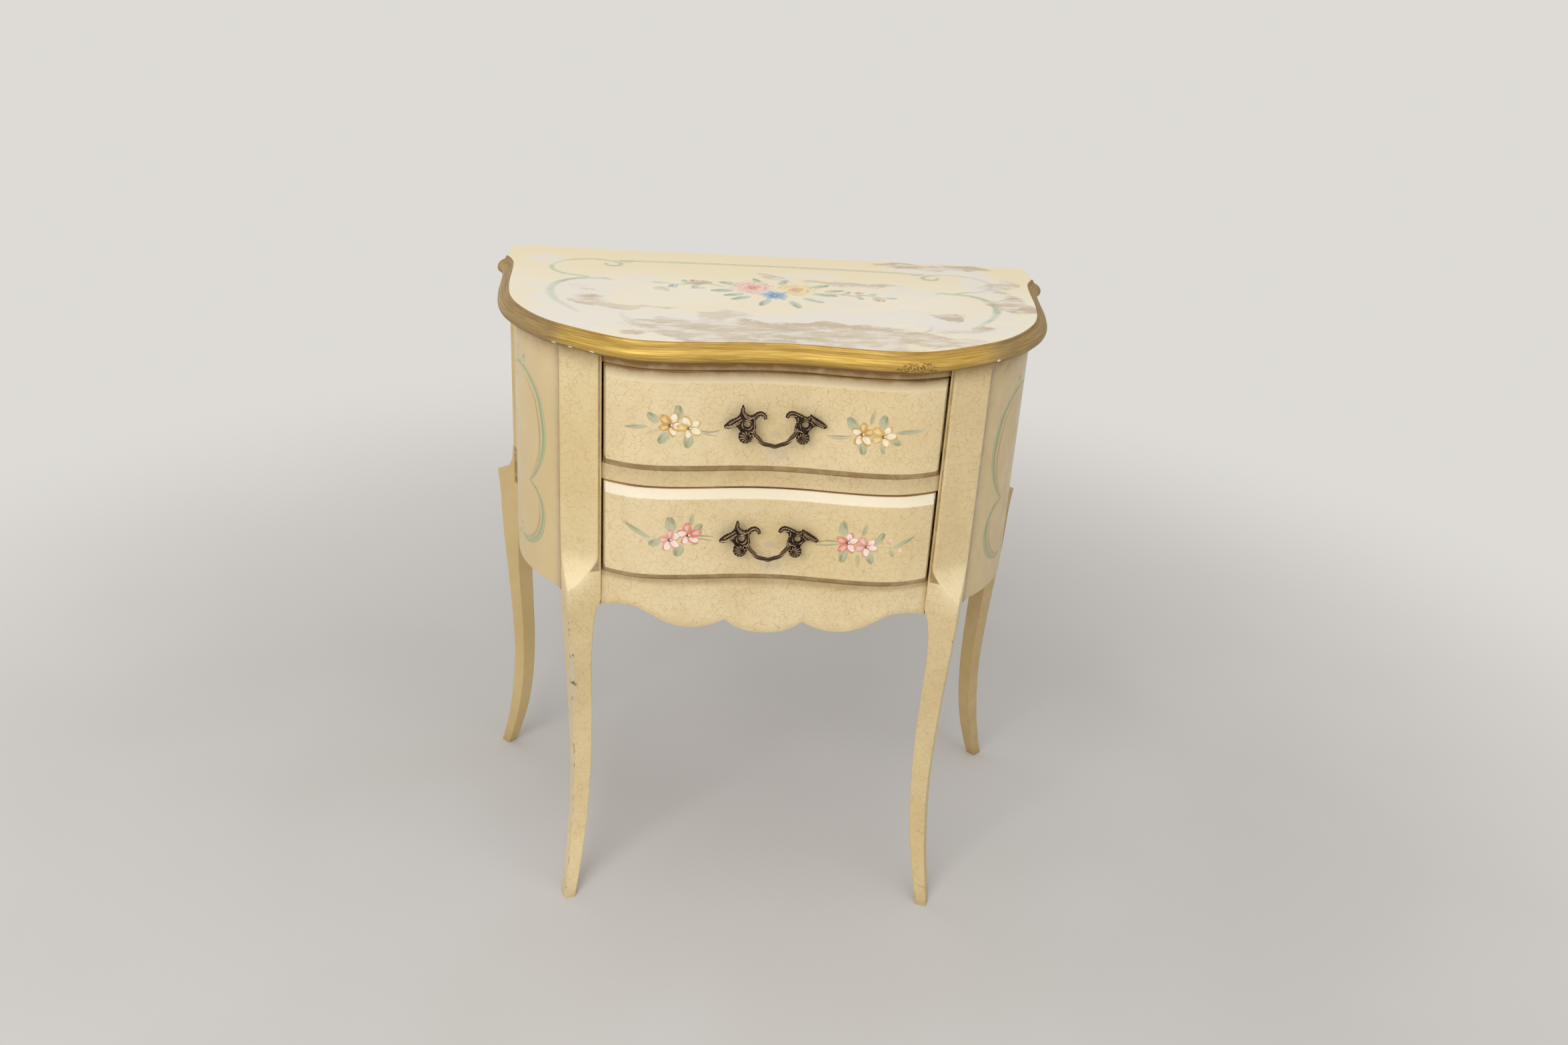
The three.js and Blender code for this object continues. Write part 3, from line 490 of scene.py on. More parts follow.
def board(outer, inner_y):
    """Closed faces for a grid of outer points, over its own border moved to inner_y places.
    Returns the points, the faces and 0 for each outer face, 1 for each edge or inner face."""
    rows, columns = outer.shape[:2]
    back = np.stack([outer[0], outer[-1]]).copy()
    back[..., 1] = inner_y(back[..., 0])
    places = np.vstack([outer.reshape(-1, 3), back.reshape(-1, 3)])
    first, last = rows * columns, rows * columns + columns
    faces = grid_faces(rows, columns)
    kinds = [0] * len(faces)
    for j in range(columns - 1):
        top = (rows - 1) * columns + j
        faces.append([j, j + 1, first + j + 1, first + j])
        faces.append([top, top + 1, last + j + 1, last + j])
        faces.append([first + j, first + j + 1, last + j + 1, last + j])
    for j in (0, columns - 1):
        faces.append([i * columns + j for i in range(rows)] + [last + j, first + j])
    kinds += [1] * (len(faces) - len(kinds))
    return places, faces, kinds


def stand_in(made, node, body):
    """Rides a finished piece on its body, in the place of its solid."""
    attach(made, body)
    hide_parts(node)
    print(made.name, "has", len(made.data.polygons), "faces")


def joined(parts):
    """Several closed shapes as one: their points, their faces and a number for each point."""
    faces, start = [], 0
    for places, part_faces, _ in parts:
        faces += [[i + start for i in face] for face in part_faces]
        start += len(places)
    return np.vstack([part[0] for part in parts]), faces, np.concatenate([part[2] for part in parts])


print("mesh helpers ready")

# %% [markdown]
# ## Brushes
# The flowers are painted by hand on the real chest, in a few strokes each. Film decals or
# nodes could show them, but a stroke that colours the vertices of a dense grid has soft
# edges, mixes with what is under it, and tells the material how thick the paint lies. Each
# brush here is a shape in millimetres on a flat canvas of points.

# %% Canvas and brushes
SAGE, PALE_SAGE = srgb(142, 149, 110), srgb(187, 191, 160)


def heading(angle):
    """A step of length 1 at an angle in degrees."""
    return np.array([math.cos(math.radians(angle)), math.sin(math.radians(angle))])


def canvas(u, v, soft=0.55):
    """An empty painting over points at u across and v up, whose lines have edges so soft."""
    return {"u": np.array(u), "v": np.array(v), "soft": soft, "rgba": np.zeros((len(u), 4))}


def lay(picture, near, amount, colour):
    """Lays colour over the points near a stroke, as fresh paint covers dry."""
    amount = np.clip(amount, 0, 1)[:, None]
    old = picture["rgba"][near]
    alpha = amount + old[:, 3:] * (1 - amount)
    under = old[:, :3] * old[:, 3:] * (1 - amount)
    mixed = (np.asarray(colour)[..., :3] * amount + under) / np.maximum(alpha, 1e-6)
    picture["rgba"][near] = np.hstack([mixed, alpha])


def petal(picture, at, angle, length, width, root, tip, strength=0.95, point=1.0):
    """One pressed brush stroke: a drop from its root to its rounded or pointed tip."""
    near = np.hypot(picture["u"] - at[0], picture["v"] - at[1]) < length * 1.1
    du, dv = picture["u"][near] - at[0], picture["v"][near] - at[1]
    cosine, sine = heading(angle)
    along = (du * cosine + dv * sine) / length
    aside = (dv * cosine - du * sine) / (width / 2)
    inside = np.clip(along, 0, 1)
    girth = np.maximum(np.sin(np.pi * inside ** 0.8) ** (0.75 * point), 1e-3)
    edge = np.minimum((girth - np.abs(aside)) * width / 2, np.minimum(along, 1 - along) * length)
    streak = 0.5 + 0.5 * np.sin(aside * 7.0 + along * 3.0 + at[0])
    share = np.clip(inside * 0.9 + 0.25 * (streak - 0.5), 0, 1)[:, None]
    colour = np.array(root) * (1 - share) + np.array(tip) * share
    lay(picture, near, np.clip(edge / 0.55 + 0.5, 0, 1) * strength * (0.86 + 0.14 * streak), colour)


def line(picture, points, width, colour, strength=0.85, ends=0.3, steps=10):
    """A drawn line through points, thinner at its ends by that share."""
    path = smooth(points, steps)
    reach = width + 1.5
    low, high = path.min(0) - reach, path.max(0) + reach
    near = ((picture["u"] > low[0]) & (picture["u"] < high[0])
            & (picture["v"] > low[1]) & (picture["v"] < high[1]))
    here = np.column_stack([picture["u"][near], picture["v"][near]])
    best, place = np.full(len(here), 1e9), np.zeros(len(here))
    run = lengths(path) / lengths(path)[-1]
    for k in range(len(path) - 1):
        side = path[k + 1] - path[k]
        t = np.clip(((here - path[k]) @ side) / max(side @ side, 1e-9), 0, 1)
        gap = np.hypot(*(here - path[k] - t[:, None] * side).T)
        closer = gap < best
        best[closer], place[closer] = gap[closer], (run[k] + t * (run[k + 1] - run[k]))[closer]
    half = width / 2 * (ends + (1 - ends) * np.sin(np.pi * place))
    lay(picture, near, np.clip((half - best) / picture["soft"] + 0.5, 0, 1) * strength, colour)


def leaf(picture, at, angle, length, width, dark=SAGE, light=PALE_SAGE, strength=0.85):
    """A leaf: a broad rounded stroke, with a paler one on one half and a darker one on the other."""
    petal(picture, at, angle, length, width, light, dark, strength, 0.6 if width > 0.3 * length else 0.95)
    out = heading(angle)
    aside = np.array([-out[1], out[0]]) * width * 0.17
    petal(picture, at + aside + out * length * 0.1, angle, length * 0.72, width * 0.42, light, light,
          strength * 0.6, 0.7)
    petal(picture, at - aside * 1.3 + out * length * 0.45, angle, length * 0.52, width * 0.3, dark,
          np.array(dark) * 0.6, strength * 0.6, 0.7)


def flower(picture, at, size, first_angle, light, deep, heart, bare=(1, 2)):
    """Five petals round a heart: deep strokes with a dark side, and pale ones over those not bare.
    Each stroke has how far out it starts, its turn, length, width, colours, strength and point."""
    shade, dot = np.array(deep) * 0.66, srgb(250, 246, 232)
    wet = [(0.0, -4, 0.53, 0.35, deep, shade, 0.85, 0.55), (0.03, 3, 0.46, 0.31, shade, deep, 0.9, 0.55)]
    thin = [(0.16, 9, 0.28, 0.12, light, light, 0.45, 0.55), (0.14, -14, 0.3, 0.09, deep, light, 0.5, 0.55)]
    pale = [(0.09, 5, 0.38, 0.26, np.array(light) * 0.95, light, 0.97, 0.6),
            (0.1, -12, 0.3, 0.07, deep, light, 0.4, 0.55)]
    for k in range(5):
        angle = first_angle + 72 * k + 7 * math.sin(2.3 * k + at[0])
        grown = size * (1 + 0.1 * math.sin(1.7 * k + at[0]))
        for out, turn, length, width, *rest in wet + (thin if k in bare else pale):
            start = at + heading(angle) * grown * out
            petal(picture, start, angle + turn, grown * length, grown * width, *rest)
    eye = np.subtract(at, (size * 0.11, size * 0.02))
    petal(picture, eye, 8, size * 0.19, size * 0.15, heart, heart, 0.85, 0.6)
    eye = np.subtract(at, (size * 0.01, 0))
    petal(picture, eye, 0, size * 0.085, size * 0.085, dot, dot, 1.0, 0.6)


def paint(picture, strokes, origin=(0.0, 0.0)):
    """Paints strokes in turn. Each is a brush, its place from an origin and what else it takes."""
    for brush, place, *rest in strokes:
        brush(picture, np.add(place, origin), *rest)


print("brushes ready")

# %% [markdown]
# ## Drawer fronts
# Each front is a bowed board with a raised field. Its upper bevel is painted lighter, a painted
# highlight, and on the upper drawer also carries the painted shadow of the top; its lower bevel,
# the crease inside it and the ends are painted darker, as shade with some grime. The field is a
# dense grid, so that the sprigs can be painted on it, and the rows at its rim drop away in small
# steps to round the arris.

# %% Drawer front mesh
BEVEL_DEPTH, SPRIG_HEIGHT = 8.0, 50.0
SPRIG_FROM, SPRIG_TO = 46, 142
FRONT_RIM = [(0, 0, 0), (0.05, 0.15, -0.25), (0.25, 0.7, -1.0), (0.4, 1.1, -1.36), (1.5, 4.25, -4.1),
             (2.65, 7.5, -7.1), (2.8, 7.9, -7.45), (3.05, 8.35, -7.85), (3.3, 8.8, -7.98),
             (3.5, 9.3, -BEVEL_DEPTH)]


def spaced(low, high, zones, fine=0.42, coarse=1.7):
    """Places from low to high, close together in the zones that carry painting."""
    stops = [low, *[stop for zone in zones for stop in zone], high]
    places = []
    for k, (start, end) in enumerate(zip(stops[:-1], stops[1:])):
        gap = fine if k % 2 else coarse
        places.append(np.linspace(start, end, max(2, round((end - start) / gap) + 1))[:-1])
    return np.concatenate([*places, [high]])


def front_grid(low, high, half):
    """Outer points of a drawer front, and how far each stands forward of its edges."""
    across = spaced(-half + 4.2, half - 4.2, [(-SPRIG_TO, -SPRIG_FROM), (SPRIG_FROM, SPRIG_TO)])
    upward = spaced(low + 10.2, high - 10.2, [(low + SPRIG_HEIGHT - 23, low + SPRIG_HEIGHT + 22)])
    sides, heights, proud = np.array(FRONT_RIM).T
    x = np.concatenate([-half + sides, across, (half - sides)[::-1]])
    z = np.concatenate([low + heights, upward, (high - heights)[::-1]])
    depth_x = np.concatenate([proud, np.full(len(across), -BEVEL_DEPTH), proud[::-1]])
    depth_z = np.concatenate([proud, np.full(len(upward), -BEVEL_DEPTH), proud[::-1]])
    grid_x, grid_z = np.meshgrid(x, z)
    depth = np.maximum(depth_x[None, :], depth_z[:, None])
    return np.stack([grid_x, rail_front(grid_x) + depth, grid_z], -1), depth


def make_front(prefix, sprigs, lit, lit_colour, shaded):
    """A drawer front with its painting and wear, its lower bevel, crease and ends darkened by painted shade
    and some grime, and the painted light and shade of its upper bevel.
    """
    (_, _, low), (half, back, high) = box_mm(f"{prefix}_drawer_front")
    outer, depth = front_grid(low, high, half)
    places, faces, kinds = board(outer, lambda x: np.full_like(x, back))
    x, _, z = places.T
    sunk = np.concatenate([depth.ravel(), np.zeros(len(places) - depth.size)])
    picture = canvas(x, z)
    paint(picture, sprigs, (0.0, low + SPRIG_HEIGHT))
    bevel = np.clip((sunk + 7.9) / 0.4, 0, 1) * (np.abs(x) < half - 1.2)
    under, over = bevel * (z < low + 9.6), bevel * (z > high - 9.6)
    for at_x, at_z, radius, strength in ((1.0, 42.5, 5.5, 0.75), (3.0, 21.0, 10.0, 0.35)):
        ragged = 1.5 * np.sin(x * 1.3) * np.sin(z * 1.1)
        gap = np.hypot((x - at_x) / 1.35, z - (low + at_z)) + ragged
        near = gap < radius
        lay(picture, near, np.clip((radius - gap[near]) / 3.0, 0, 1) * strength, srgb(196, 186, 168))
    # A painted highlight on the upper bevel.
    lay(picture, over > 0, over[over > 0] * lit, lit_colour)
    # A warm ochre tint round the pull.
    round_pull = np.exp(-(((x - 1) / 34) ** 2 + ((z - low - 47) / 17) ** 2))
    lay(picture, round_pull > 0.02, round_pull[round_pull > 0.02] * 0.35, srgb(232, 204, 140))
    # Painted shade: at the ends beside the gaps, in the crease of the lower bevel and on the upper bevel
    # under the top. The lower bevel is painted darker as shade, with some grime.
    side_shade = np.clip(1 - (half - np.abs(x)) / 3.4, 0, 1)
    crease_shade = 0.42 * np.exp(-(((sunk + 7.6) / 0.25) ** 2)) * (under > 0)
    overhang_shadow = shaded * over * np.clip(1 + sunk / 6.5, 0, 1) ** 1.3
    arris = np.exp(-((sunk + 7.7) / 0.5) ** 2)
    marks = {"paint": picture["rgba"], "painted_shade_and_grime": under * 0.82 + crease_shade + overhang_shadow + side_shade * 0.8,
             "wear": arris * 0.62}
    made = make_piece(f"{prefix}_painted_front", places, faces, [crackled_cream, raw_x], kinds, marks)
    stand_in(made, f"{prefix}_drawer_front", f"{prefix}_drawer")


print("a front's rim drops in", len(FRONT_RIM), "steps")

# %% Flower sprigs
CREAM, OCHRE, AMBER, BROWN = srgb(253, 245, 222), srgb(226, 172, 78), srgb(236, 196, 106), srgb(96, 66, 40)
WHITE, PINK, ROSE, UMBER = srgb(254, 240, 228), srgb(238, 142, 124), srgb(242, 172, 152), srgb(84, 48, 36)
UPPER_SPRIGS = [
    (line, [(-74, -4), (-64, -6), (-53, -4.5)], 1.7, srgb(150, 146, 120)),
    (line, [(-73, -6), (-63, -9), (-55, -10)], 1.5, srgb(176, 176, 146)),
    (leaf, (-92, 7), 98, 15, 9.5), (leaf, (-112, 4), 142, 14, 8.5), (leaf, (-122, -1), 187, 23, 4.4),
    (leaf, (-103, -7), 232, 14, 9.5), (leaf, (-82, -8), 262, 15, 10),
    (leaf, (-112, -4), 200, 12, 4, PALE_SAGE, PALE_SAGE, 0.5),
    (flower, (-100, 1), 25, 64, CREAM, OCHRE, BROWN), (flower, (-82, -2), 24, 38, CREAM, AMBER, BROWN, (2,)),
    (line, [(74, -4), (62, -5), (50, -5.5)], 1.7, srgb(160, 146, 110)),
    (line, [(73, -6), (62, -7.5), (53, -7)], 1.5, srgb(176, 172, 138)),
    (leaf, (80, 2), 128, 17, 10), (leaf, (104, 5), 88, 15, 9.5),
    (leaf, (92, 10), 80, 15, 4.5, PALE_SAGE, SAGE, 0.6), (leaf, (112, -4), 330, 12, 7.5),
    (leaf, (84, -6), 282, 17, 9), (leaf, (103, -9), 290, 12, 5, SAGE, PALE_SAGE, 0.7),
    (leaf, (118, 2), 6, 26, 4.6, PALE_SAGE, SAGE, 0.7),
    (line, [(112, 1), (124, 3), (138, 0.5)], 0.9, PALE_SAGE, 0.7),
    (flower, (85, -1), 24, 92, CREAM, OCHRE, BROWN, (0, 4)),
    (flower, (106, -2), 24.5, 68, CREAM, AMBER, BROWN)]
LOWER_SPRIGS = [
    (line, [(-74, 2), (-64, 2), (-55, 1)], 1.7, srgb(140, 148, 118)),
    (line, [(-73, -0.5), (-63, -2), (-56, -4)], 1.6, srgb(152, 158, 126)),
    (leaf, (-96, 7), 104, 17, 11), (leaf, (-78, 14), 84, 13, 5, PALE_SAGE, SAGE, 0.6),
    (leaf, (-74, 4), 62, 13, 8.5), (leaf, (-108, -4), 196, 12, 8.5), (leaf, (-88, -7), 256, 14, 11),
    (leaf, (-118, -1), 150, 31, 5.4), (line, [(-110, -1), (-120, 1), (-128, -4)], 0.9, PALE_SAGE, 0.7),
    (petal, (-126, -5), 158, 6.5, 4.6, PINK, WHITE), (flower, (-98, -2), 23.5, 30, WHITE, ROSE, UMBER),
    (flower, (-80, 3), 24, 96, WHITE, PINK, UMBER, (0, 4)),
    (line, [(72, 1), (61, 1.5), (50, -0.5)], 1.8, srgb(140, 144, 112)),
    (line, [(72, -1), (60, -3.5), (48, -4.5)], 1.6, srgb(150, 152, 118)),
    (leaf, (75, 8), 96, 16, 9), (leaf, (94, 10), 76, 14, 5, PALE_SAGE, SAGE, 0.6),
    (leaf, (108, 1), 62, 15, 7.5), (leaf, (77, -6), 262, 16, 9), (leaf, (100, -9), 294, 13, 8),
    (leaf, (90, -12), 276, 14, 4.5, PALE_SAGE, SAGE, 0.45),
    (leaf, (126, -2), 28, 23, 4.6), (line, [(106, -1), (118, -2), (130, -3)], 0.9, PALE_SAGE, 0.7),
    (petal, (120, 2), 60, 6.5, 4.6, PINK, WHITE), (petal, (131, -6), 12, 6.0, 4.4, WHITE, PINK),
    (leaf, (122, -5), 300, 9, 4.5, SAGE, PALE_SAGE, 0.7), (flower, (80, 1), 24, 88, WHITE, PINK, UMBER),
    (flower, (99, -2), 23.5, 52, WHITE, ROSE, UMBER)]
# The upper drawer's top bevel gets a painted highlight and the painted shadow of the top; the lower drawer's
# only a painted highlight.
make_front("upper", UPPER_SPRIGS, 0.72, srgb(236, 221, 184), 0.98)
make_front("lower", LOWER_SPRIGS, 0.8, srgb(244, 235, 212), 0.0)

# %% [markdown]
# ## Rails and apron
# The rails between the drawers and the scalloped apron are bowed to the same curve as the
# fronts. Their ends meet the posts at a slant, so each column of points is spread a little
# wider the deeper it lies. The apron's lower edge comes from shares of the drop at its
# middle lobe, with a sharp cusp on each side of it.

# %% Rails between the posts
POST_TURN, POST_WIDTH, POST_DEPTH = math.radians(18), 35.2, 33.0
RAIL_DEPTH, APRON_DEPTH = 42.0, 21.0
front_arris = in_plan([(0.6974, 0.9713)])[0]
front_along = np.array([-math.cos(POST_TURN), math.sin(POST_TURN)])
side_along = np.array([math.sin(POST_TURN), math.cos(POST_TURN)])
opening_corner = front_arris + front_along * POST_WIDTH
case_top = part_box("top_rail")[1].z / MM


def between_posts(share, y):
    """The place across the front at a share of the space between the posts, at a depth."""
    return share * (opening_corner[0] - 0.3 + (y - opening_corner[1]) * math.tan(POST_TURN))


def make_rail(name, finish, depth, shades, low_of=None):
    """A bowed board between the posts, with rounded long arrises. Its lower edge is straight, or
    low_of gives its height at each share of the half width."""
    (_, _, bottom), (_, _, top) = box_mm(name)
    shares = np.unique(np.concatenate([np.linspace(-1, 1, 241), [-0.245, 0.245]]))
    front = rail_front(shares * opening_corner[0])
    low = low_of(np.abs(shares)) if low_of else np.full_like(shares, bottom)
    rows = np.concatenate([[0, 0.3, 0.9], np.linspace(2.2, -2.2, 24), [-0.9, -0.3, 0]])
    tuck = np.concatenate([[0.7, 0.2, 0.0], np.zeros(24), [0.0, 0.2, 0.7]])
    fraction = np.concatenate([[0] * 3, np.linspace(0, 1, 24), [1] * 3])[:, None]
    z = low + fraction * (top - low) + rows[:, None]
    y = front + tuck[:, None] + np.zeros_like(z)
    outer = np.stack([between_posts(shares, y), y, z], -1)
    back = np.full_like(shares, rail_front(0.0) + depth)
    places, faces, kinds = board(outer, lambda x: back)
    places[z.size:, 0] = np.tile(between_posts(shares, back), 2)
    rest = len(places) - z.size
    # The front is darkened by shades, as painted shade, and the faces out of sight a little.
    shaded = shades(fraction, np.abs(shares)) + np.zeros_like(z)
    worn = np.where(tuck[:, None] > 0.1, 0.5, 0.0) + np.zeros_like(z)
    marks = {"paint": np.zeros((len(places), 4)),
             "painted_shade_and_grime": np.clip(np.concatenate([shaded.ravel(), np.full(rest, 0.3)]), 0, 2),
             "wear": np.concatenate([worn.ravel(), np.zeros(rest)])}
    made = make_piece(f"painted_{name}", places, faces, [finish, raw_x], [0] * len(kinds), marks)
    stand_in(made, name, "case")


# Painted shade: the top rail dark under the top's overhang, the middle rail lightly between the drawers, both
# darker towards the posts.
for name, finish, dark in (("top_rail", smooth_cream, 1.55), ("middle_rail", crackled_cream, 0.3)):
    make_rail(name, finish, RAIL_DEPTH,
              lambda f, s, d=dark: d * (0.55 + 0.45 * f) + 0.5 * np.clip((s - 0.975) / 0.025, 0, 1))

# %% Scalloped apron
APRON_DROP = 64.5
APRON_SHARES = [(0, 1), (0.05, 0.996), (0.11, 0.965), (0.17, 0.9), (0.21, 0.83), (0.245, 0.76)]
APRON_SIDE_SHARES = [(0.245, 0.76), (0.3, 0.82), (0.38, 0.873), (0.46, 0.885), (0.54, 0.852),
                     (0.63, 0.77), (0.72, 0.64), (0.8, 0.54), (0.88, 0.53), (0.95, 0.565), (1, 0.63)]
apron_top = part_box("apron")[1].z / MM
middle_lobe = smooth(np.vstack([np.array(APRON_SHARES[1]) * (-1, 1), APRON_SHARES]), 8)[8:]
apron_edge = np.vstack([middle_lobe, smooth(APRON_SIDE_SHARES, 8)[1:]])


def apron_low(share):
    """The height of the apron's lower edge at a share of the half width."""
    return apron_top - APRON_DROP * np.interp(share, apron_edge[:, 0], apron_edge[:, 1])


# The apron is painted darker as shade under the lower drawer and towards the posts, and a little darker along
# its lower edge.
make_rail("apron", crackled_cream, APRON_DEPTH,
          lambda f, s: 0.55 * np.exp(-(((1 - f) / 0.1) ** 2)) + 0.3 * np.clip((s - 0.96) / 0.04, 0, 1)
          + 0.18 * np.exp(-((f / 0.08) ** 2)), apron_low)

# %% [markdown]
# ## Legs
# A front leg and its corner post are one stick. Below, it is a four-sided curved leg with an
# arris to the front, and above, that arris is cut back to a broad chamfer that starts in a
# pointed tongue. A loft of rings, each a polygon with small rounded corners, gives both: the
# chamfer is simply a fifth side that opens from nothing. Worn arrises follow the corners.

# %% Rings with rounded corners


def rounded(corners, radius, steps=4):
    """A polygon's points with each corner as a small arc, and how near a corner each lies."""
    corners = np.asarray(corners, float)
    points, near = [], []
    for k, corner in enumerate(corners):
        back, ahead = corners[k - 1] - corner, corners[(k + 1) % len(corners)] - corner
        long_back, long_ahead = np.hypot(*back), np.hypot(*ahead)
        reach = min(radius, 0.3 * long_back, 0.3 * long_ahead)
        start = corner + back / max(long_back, 1e-6) * reach
        end = corner + ahead / max(long_ahead, 1e-6) * reach
        outside = corner + back / max(long_back, 1e-6) * min(reach * 1.9, 0.4 * long_back)
        beyond = corner + ahead / max(long_ahead, 1e-6) * min(reach * 1.9, 0.4 * long_ahead)
        arc = [(1 - t) ** 2 * start + 2 * t * (1 - t) * corner + t**2 * end for t in np.linspace(0, 1, steps)]
        points += [outside, *arc, beyond]
        near += [0.25, *([1.0] * steps), 0.25]
    return np.array(points), np.array(near)


def lofted(rings):
    """Points and faces of closed rings stacked in order, with a face over each end."""
    size = len(rings[0])
    faces = grid_faces(len(rings), size, closed=True)
    faces += [list(range(size)), list(range((len(rings) - 1) * size, len(rings) * size))]
    return np.vstack(rings), faces


def stacked(sections, radius):
    """A closed shape through sections, each the corners of a ring and its height, with those
    corners rounded, and how near a corner each point lies."""
    rings, near = zip(*(rounded(corners, radius) for corners, _ in sections))
    levels = [np.column_stack([ring, np.full(len(ring), z)]) for ring, (_, z) in zip(rings, sections)]
    return (*lofted(levels), np.concatenate(near))


def mirror_places(places):
    """The same points on the other side of the chest."""
    return places * (-1, 1, 1)


print("ring helpers ready")

# %% Front legs
LEG_SHARES = [(0, 1, 0.18, 0.364, 0.4), (0.049, 0.76, 0.41, 0.403, 0.45), (0.099, 0.5, 0.61, 0.432, 0.49),
              (0.148, 0.28, 0.77, 0.457, 0.52), (0.198, 0.1, 0.875, 0.486, 0.55),
              (0.272, -0.08, 0.966, 0.511, 0.58), (0.346, -0.21, 1, 0.537, 0.61),
              (0.42, -0.22, 0.998, 0.565, 0.64), (0.494, -0.18, 0.952, 0.597, 0.675),
              (0.568, -0.14, 0.86, 0.619, 0.71), (0.642, -0.11, 0.73, 0.636, 0.75),
              (0.716, -0.08, 0.556, 0.65, 0.8), (0.79, -0.055, 0.372, 0.679, 0.86),
              (0.864, -0.03, 0.204, 0.744, 0.91), (0.919, -0.01, 0.098, 0.824, 0.94),
              (0.94, 0, 0.062, 0.89, 0.95), (0.957, 0, 0.035, 0.965, 0.95), (0.97, 0, 0.018, 1, 0.96),
              (1, 0, 0, 1, 1)]
LEG_HEIGHT, LEG_FLARE, LEG_SWEEP, ARRIS_RADIUS = 405.0, 7.2, 41.7, 1.3
TONGUE_HEIGHT = 36.0
TONGUE_SHARES = np.array([(0, 1), (0.1, 0.82), (0.25, 0.6), (0.42, 0.42), (0.58, 0.27), (0.74, 0.13),
                          (0.88, 0.045), (1, 0)])
FRONT_STRIP, SIDE_STRIP = 5.4, 5.0


def leg_section(z):
    """The five corners of a front leg's section at a height."""
    rows = smooth(LEG_SHARES, 8)
    flare, sweep, width, depth = (np.interp(z / LEG_HEIGHT, rows[:, 0], rows[:, k]) for k in range(1, 5))
    arris = front_arris + (flare * LEG_FLARE, sweep * LEG_SWEEP)
    width, depth = width * POST_WIDTH, depth * POST_DEPTH
    tongue = smooth(TONGUE_SHARES, 6)
    cut = max(1 - np.interp((z - LEG_HEIGHT) / TONGUE_HEIGHT, tongue[:, 0], tongue[:, 1]), 0.025)
    inner = arris + front_along * width
    return [arris + front_along * cut * (width - FRONT_STRIP), inner, inner + side_along * depth,
            arris + side_along * depth, arris + side_along * cut * (depth - SIDE_STRIP)]


def make_front_leg(hand):
    """One front leg with its post, and masks for the worn arrises, painted shade on the inner strips and
    under the top, and a painted highlight on the chamfer.
    """
    knee, tongue_top = LEG_HEIGHT * 0.86, LEG_HEIGHT + TONGUE_HEIGHT + 2
    levels = np.unique(np.concatenate([np.linspace(0, knee, 100), np.linspace(knee, tongue_top, 60),
                                       np.linspace(tongue_top, case_top, 70)]))
    places, faces, near = stacked([(leg_section(z), z) for z in levels], ARRIS_RADIUS)
    z = places[:, 2]
    number = np.tile(np.arange(len(places) // len(levels)), len(levels))
    corner = number // 6
    chamfer = np.isin(corner, (0, 4))
    foot = np.exp(-z / 14.0)
    arris = chamfer * (z < LEG_HEIGHT + 6)
    inner_strip = np.isin(number, (5, 6)) * (z > LEG_HEIGHT + 20)
    under_top = np.exp(-(((z - case_top) / 12.0) ** 2))
    # Darker towards the foot; painted shade on the inner strips beside the drawers, on the inner back corner
    # and under the top.
    painted_shade_and_grime = 0.4 * foot + 0.75 * inner_strip + 0.25 * (corner == 2) + 0.75 * under_top
    wear = near * (0.36 + 0.3 * arris) + 0.3 * foot
    if hand == "right":
        # The right leg is painted a little darker all over, as shade.
        painted_shade_and_grime += 0.1
    else:
        wear += 0.33 * arris * np.clip((LEG_HEIGHT - z) / 120, 0, 1)
        wear += 0.5 * chamfer * np.exp(-(((z - 292) / 52) ** 2))
        places = mirror_places(places)
    # A painted highlight on the chamfer where the tongue turns up.
    rgba = np.tile(srgb(250, 234, 192), (len(places), 1))
    rgba[:, 3] = 0.6 * np.exp(-((z - LEG_HEIGHT - 10) / 22) ** 2) * chamfer
    marks = {"paint": rgba, "painted_shade_and_grime": np.clip(painted_shade_and_grime, 0, 1), "wear": np.clip(wear, 0, 1)}
    made = make_piece(f"front_{hand}_painted_leg", places, faces, [post_cream], None, marks, 50)
    stand_in(made, f"front_{hand}_leg", "case")


for hand in ("left", "right"):
    make_front_leg(hand)

# %% [markdown]
# ## Back legs
# The back legs are planks set at 45 degrees. Each sweeps out to its foot and has a little
# shoulder where it stands clear of the case. The post above the shoulder is a second closed
# shape in the same mesh. Both use the rounded rings again.

# %% Back legs
BACK_LEG_SHARES = [(0, 0.723, 1.093, 0.545), (0.051, 0.49, 0.888, 0.585), (0.09, 0.345, 0.764, 0.61),
                   (0.154, 0.12, 0.573, 0.66), (0.241, -0.1, 0.389, 0.7), (0.33, -0.226, 0.258, 0.73),
                   (0.41, -0.275, 0.208, 0.75), (0.487, -0.27, 0.25, 0.77), (0.58, -0.213, 0.335, 0.8),
                   (0.66, -0.14, 0.445, 0.85), (0.749, -0.115, 0.575, 0.9), (0.826, -0.17, 0.675, 0.94),
                   (0.89, -0.33, 0.725, 0.97), (0.938, -0.56, 0.75, 0.99), (0.975, -0.83, 0.8, 1),
                   (1, -1.03, 0.85, 1)]
SHOULDER_SHARES = [(0.14, 0.88, 0.86), (0.19, 0.62, 0.72), (0.3, 0.4, 0.52), (0.46, 0.22, 0.33),
                   (0.68, 0.08, 0.15), (1, 0.02, 0.02)]
BACK_SWEEP, BACK_THICKNESS, SHOULDER_HEIGHT, BACK_POST = 36.5, 25.0, 47.0, 38.5
PANEL_BOTTOM = 0.963 * LEG_HEIGHT
plank_along, plank_through = heading(45), heading(135)
back_corner = np.array([HALF_WIDTH + 5.0, back_edge - 1.0])
back_post_front = back_corner - plank_along * BACK_POST
back_inner_x = back_post_front[0] - 18.0


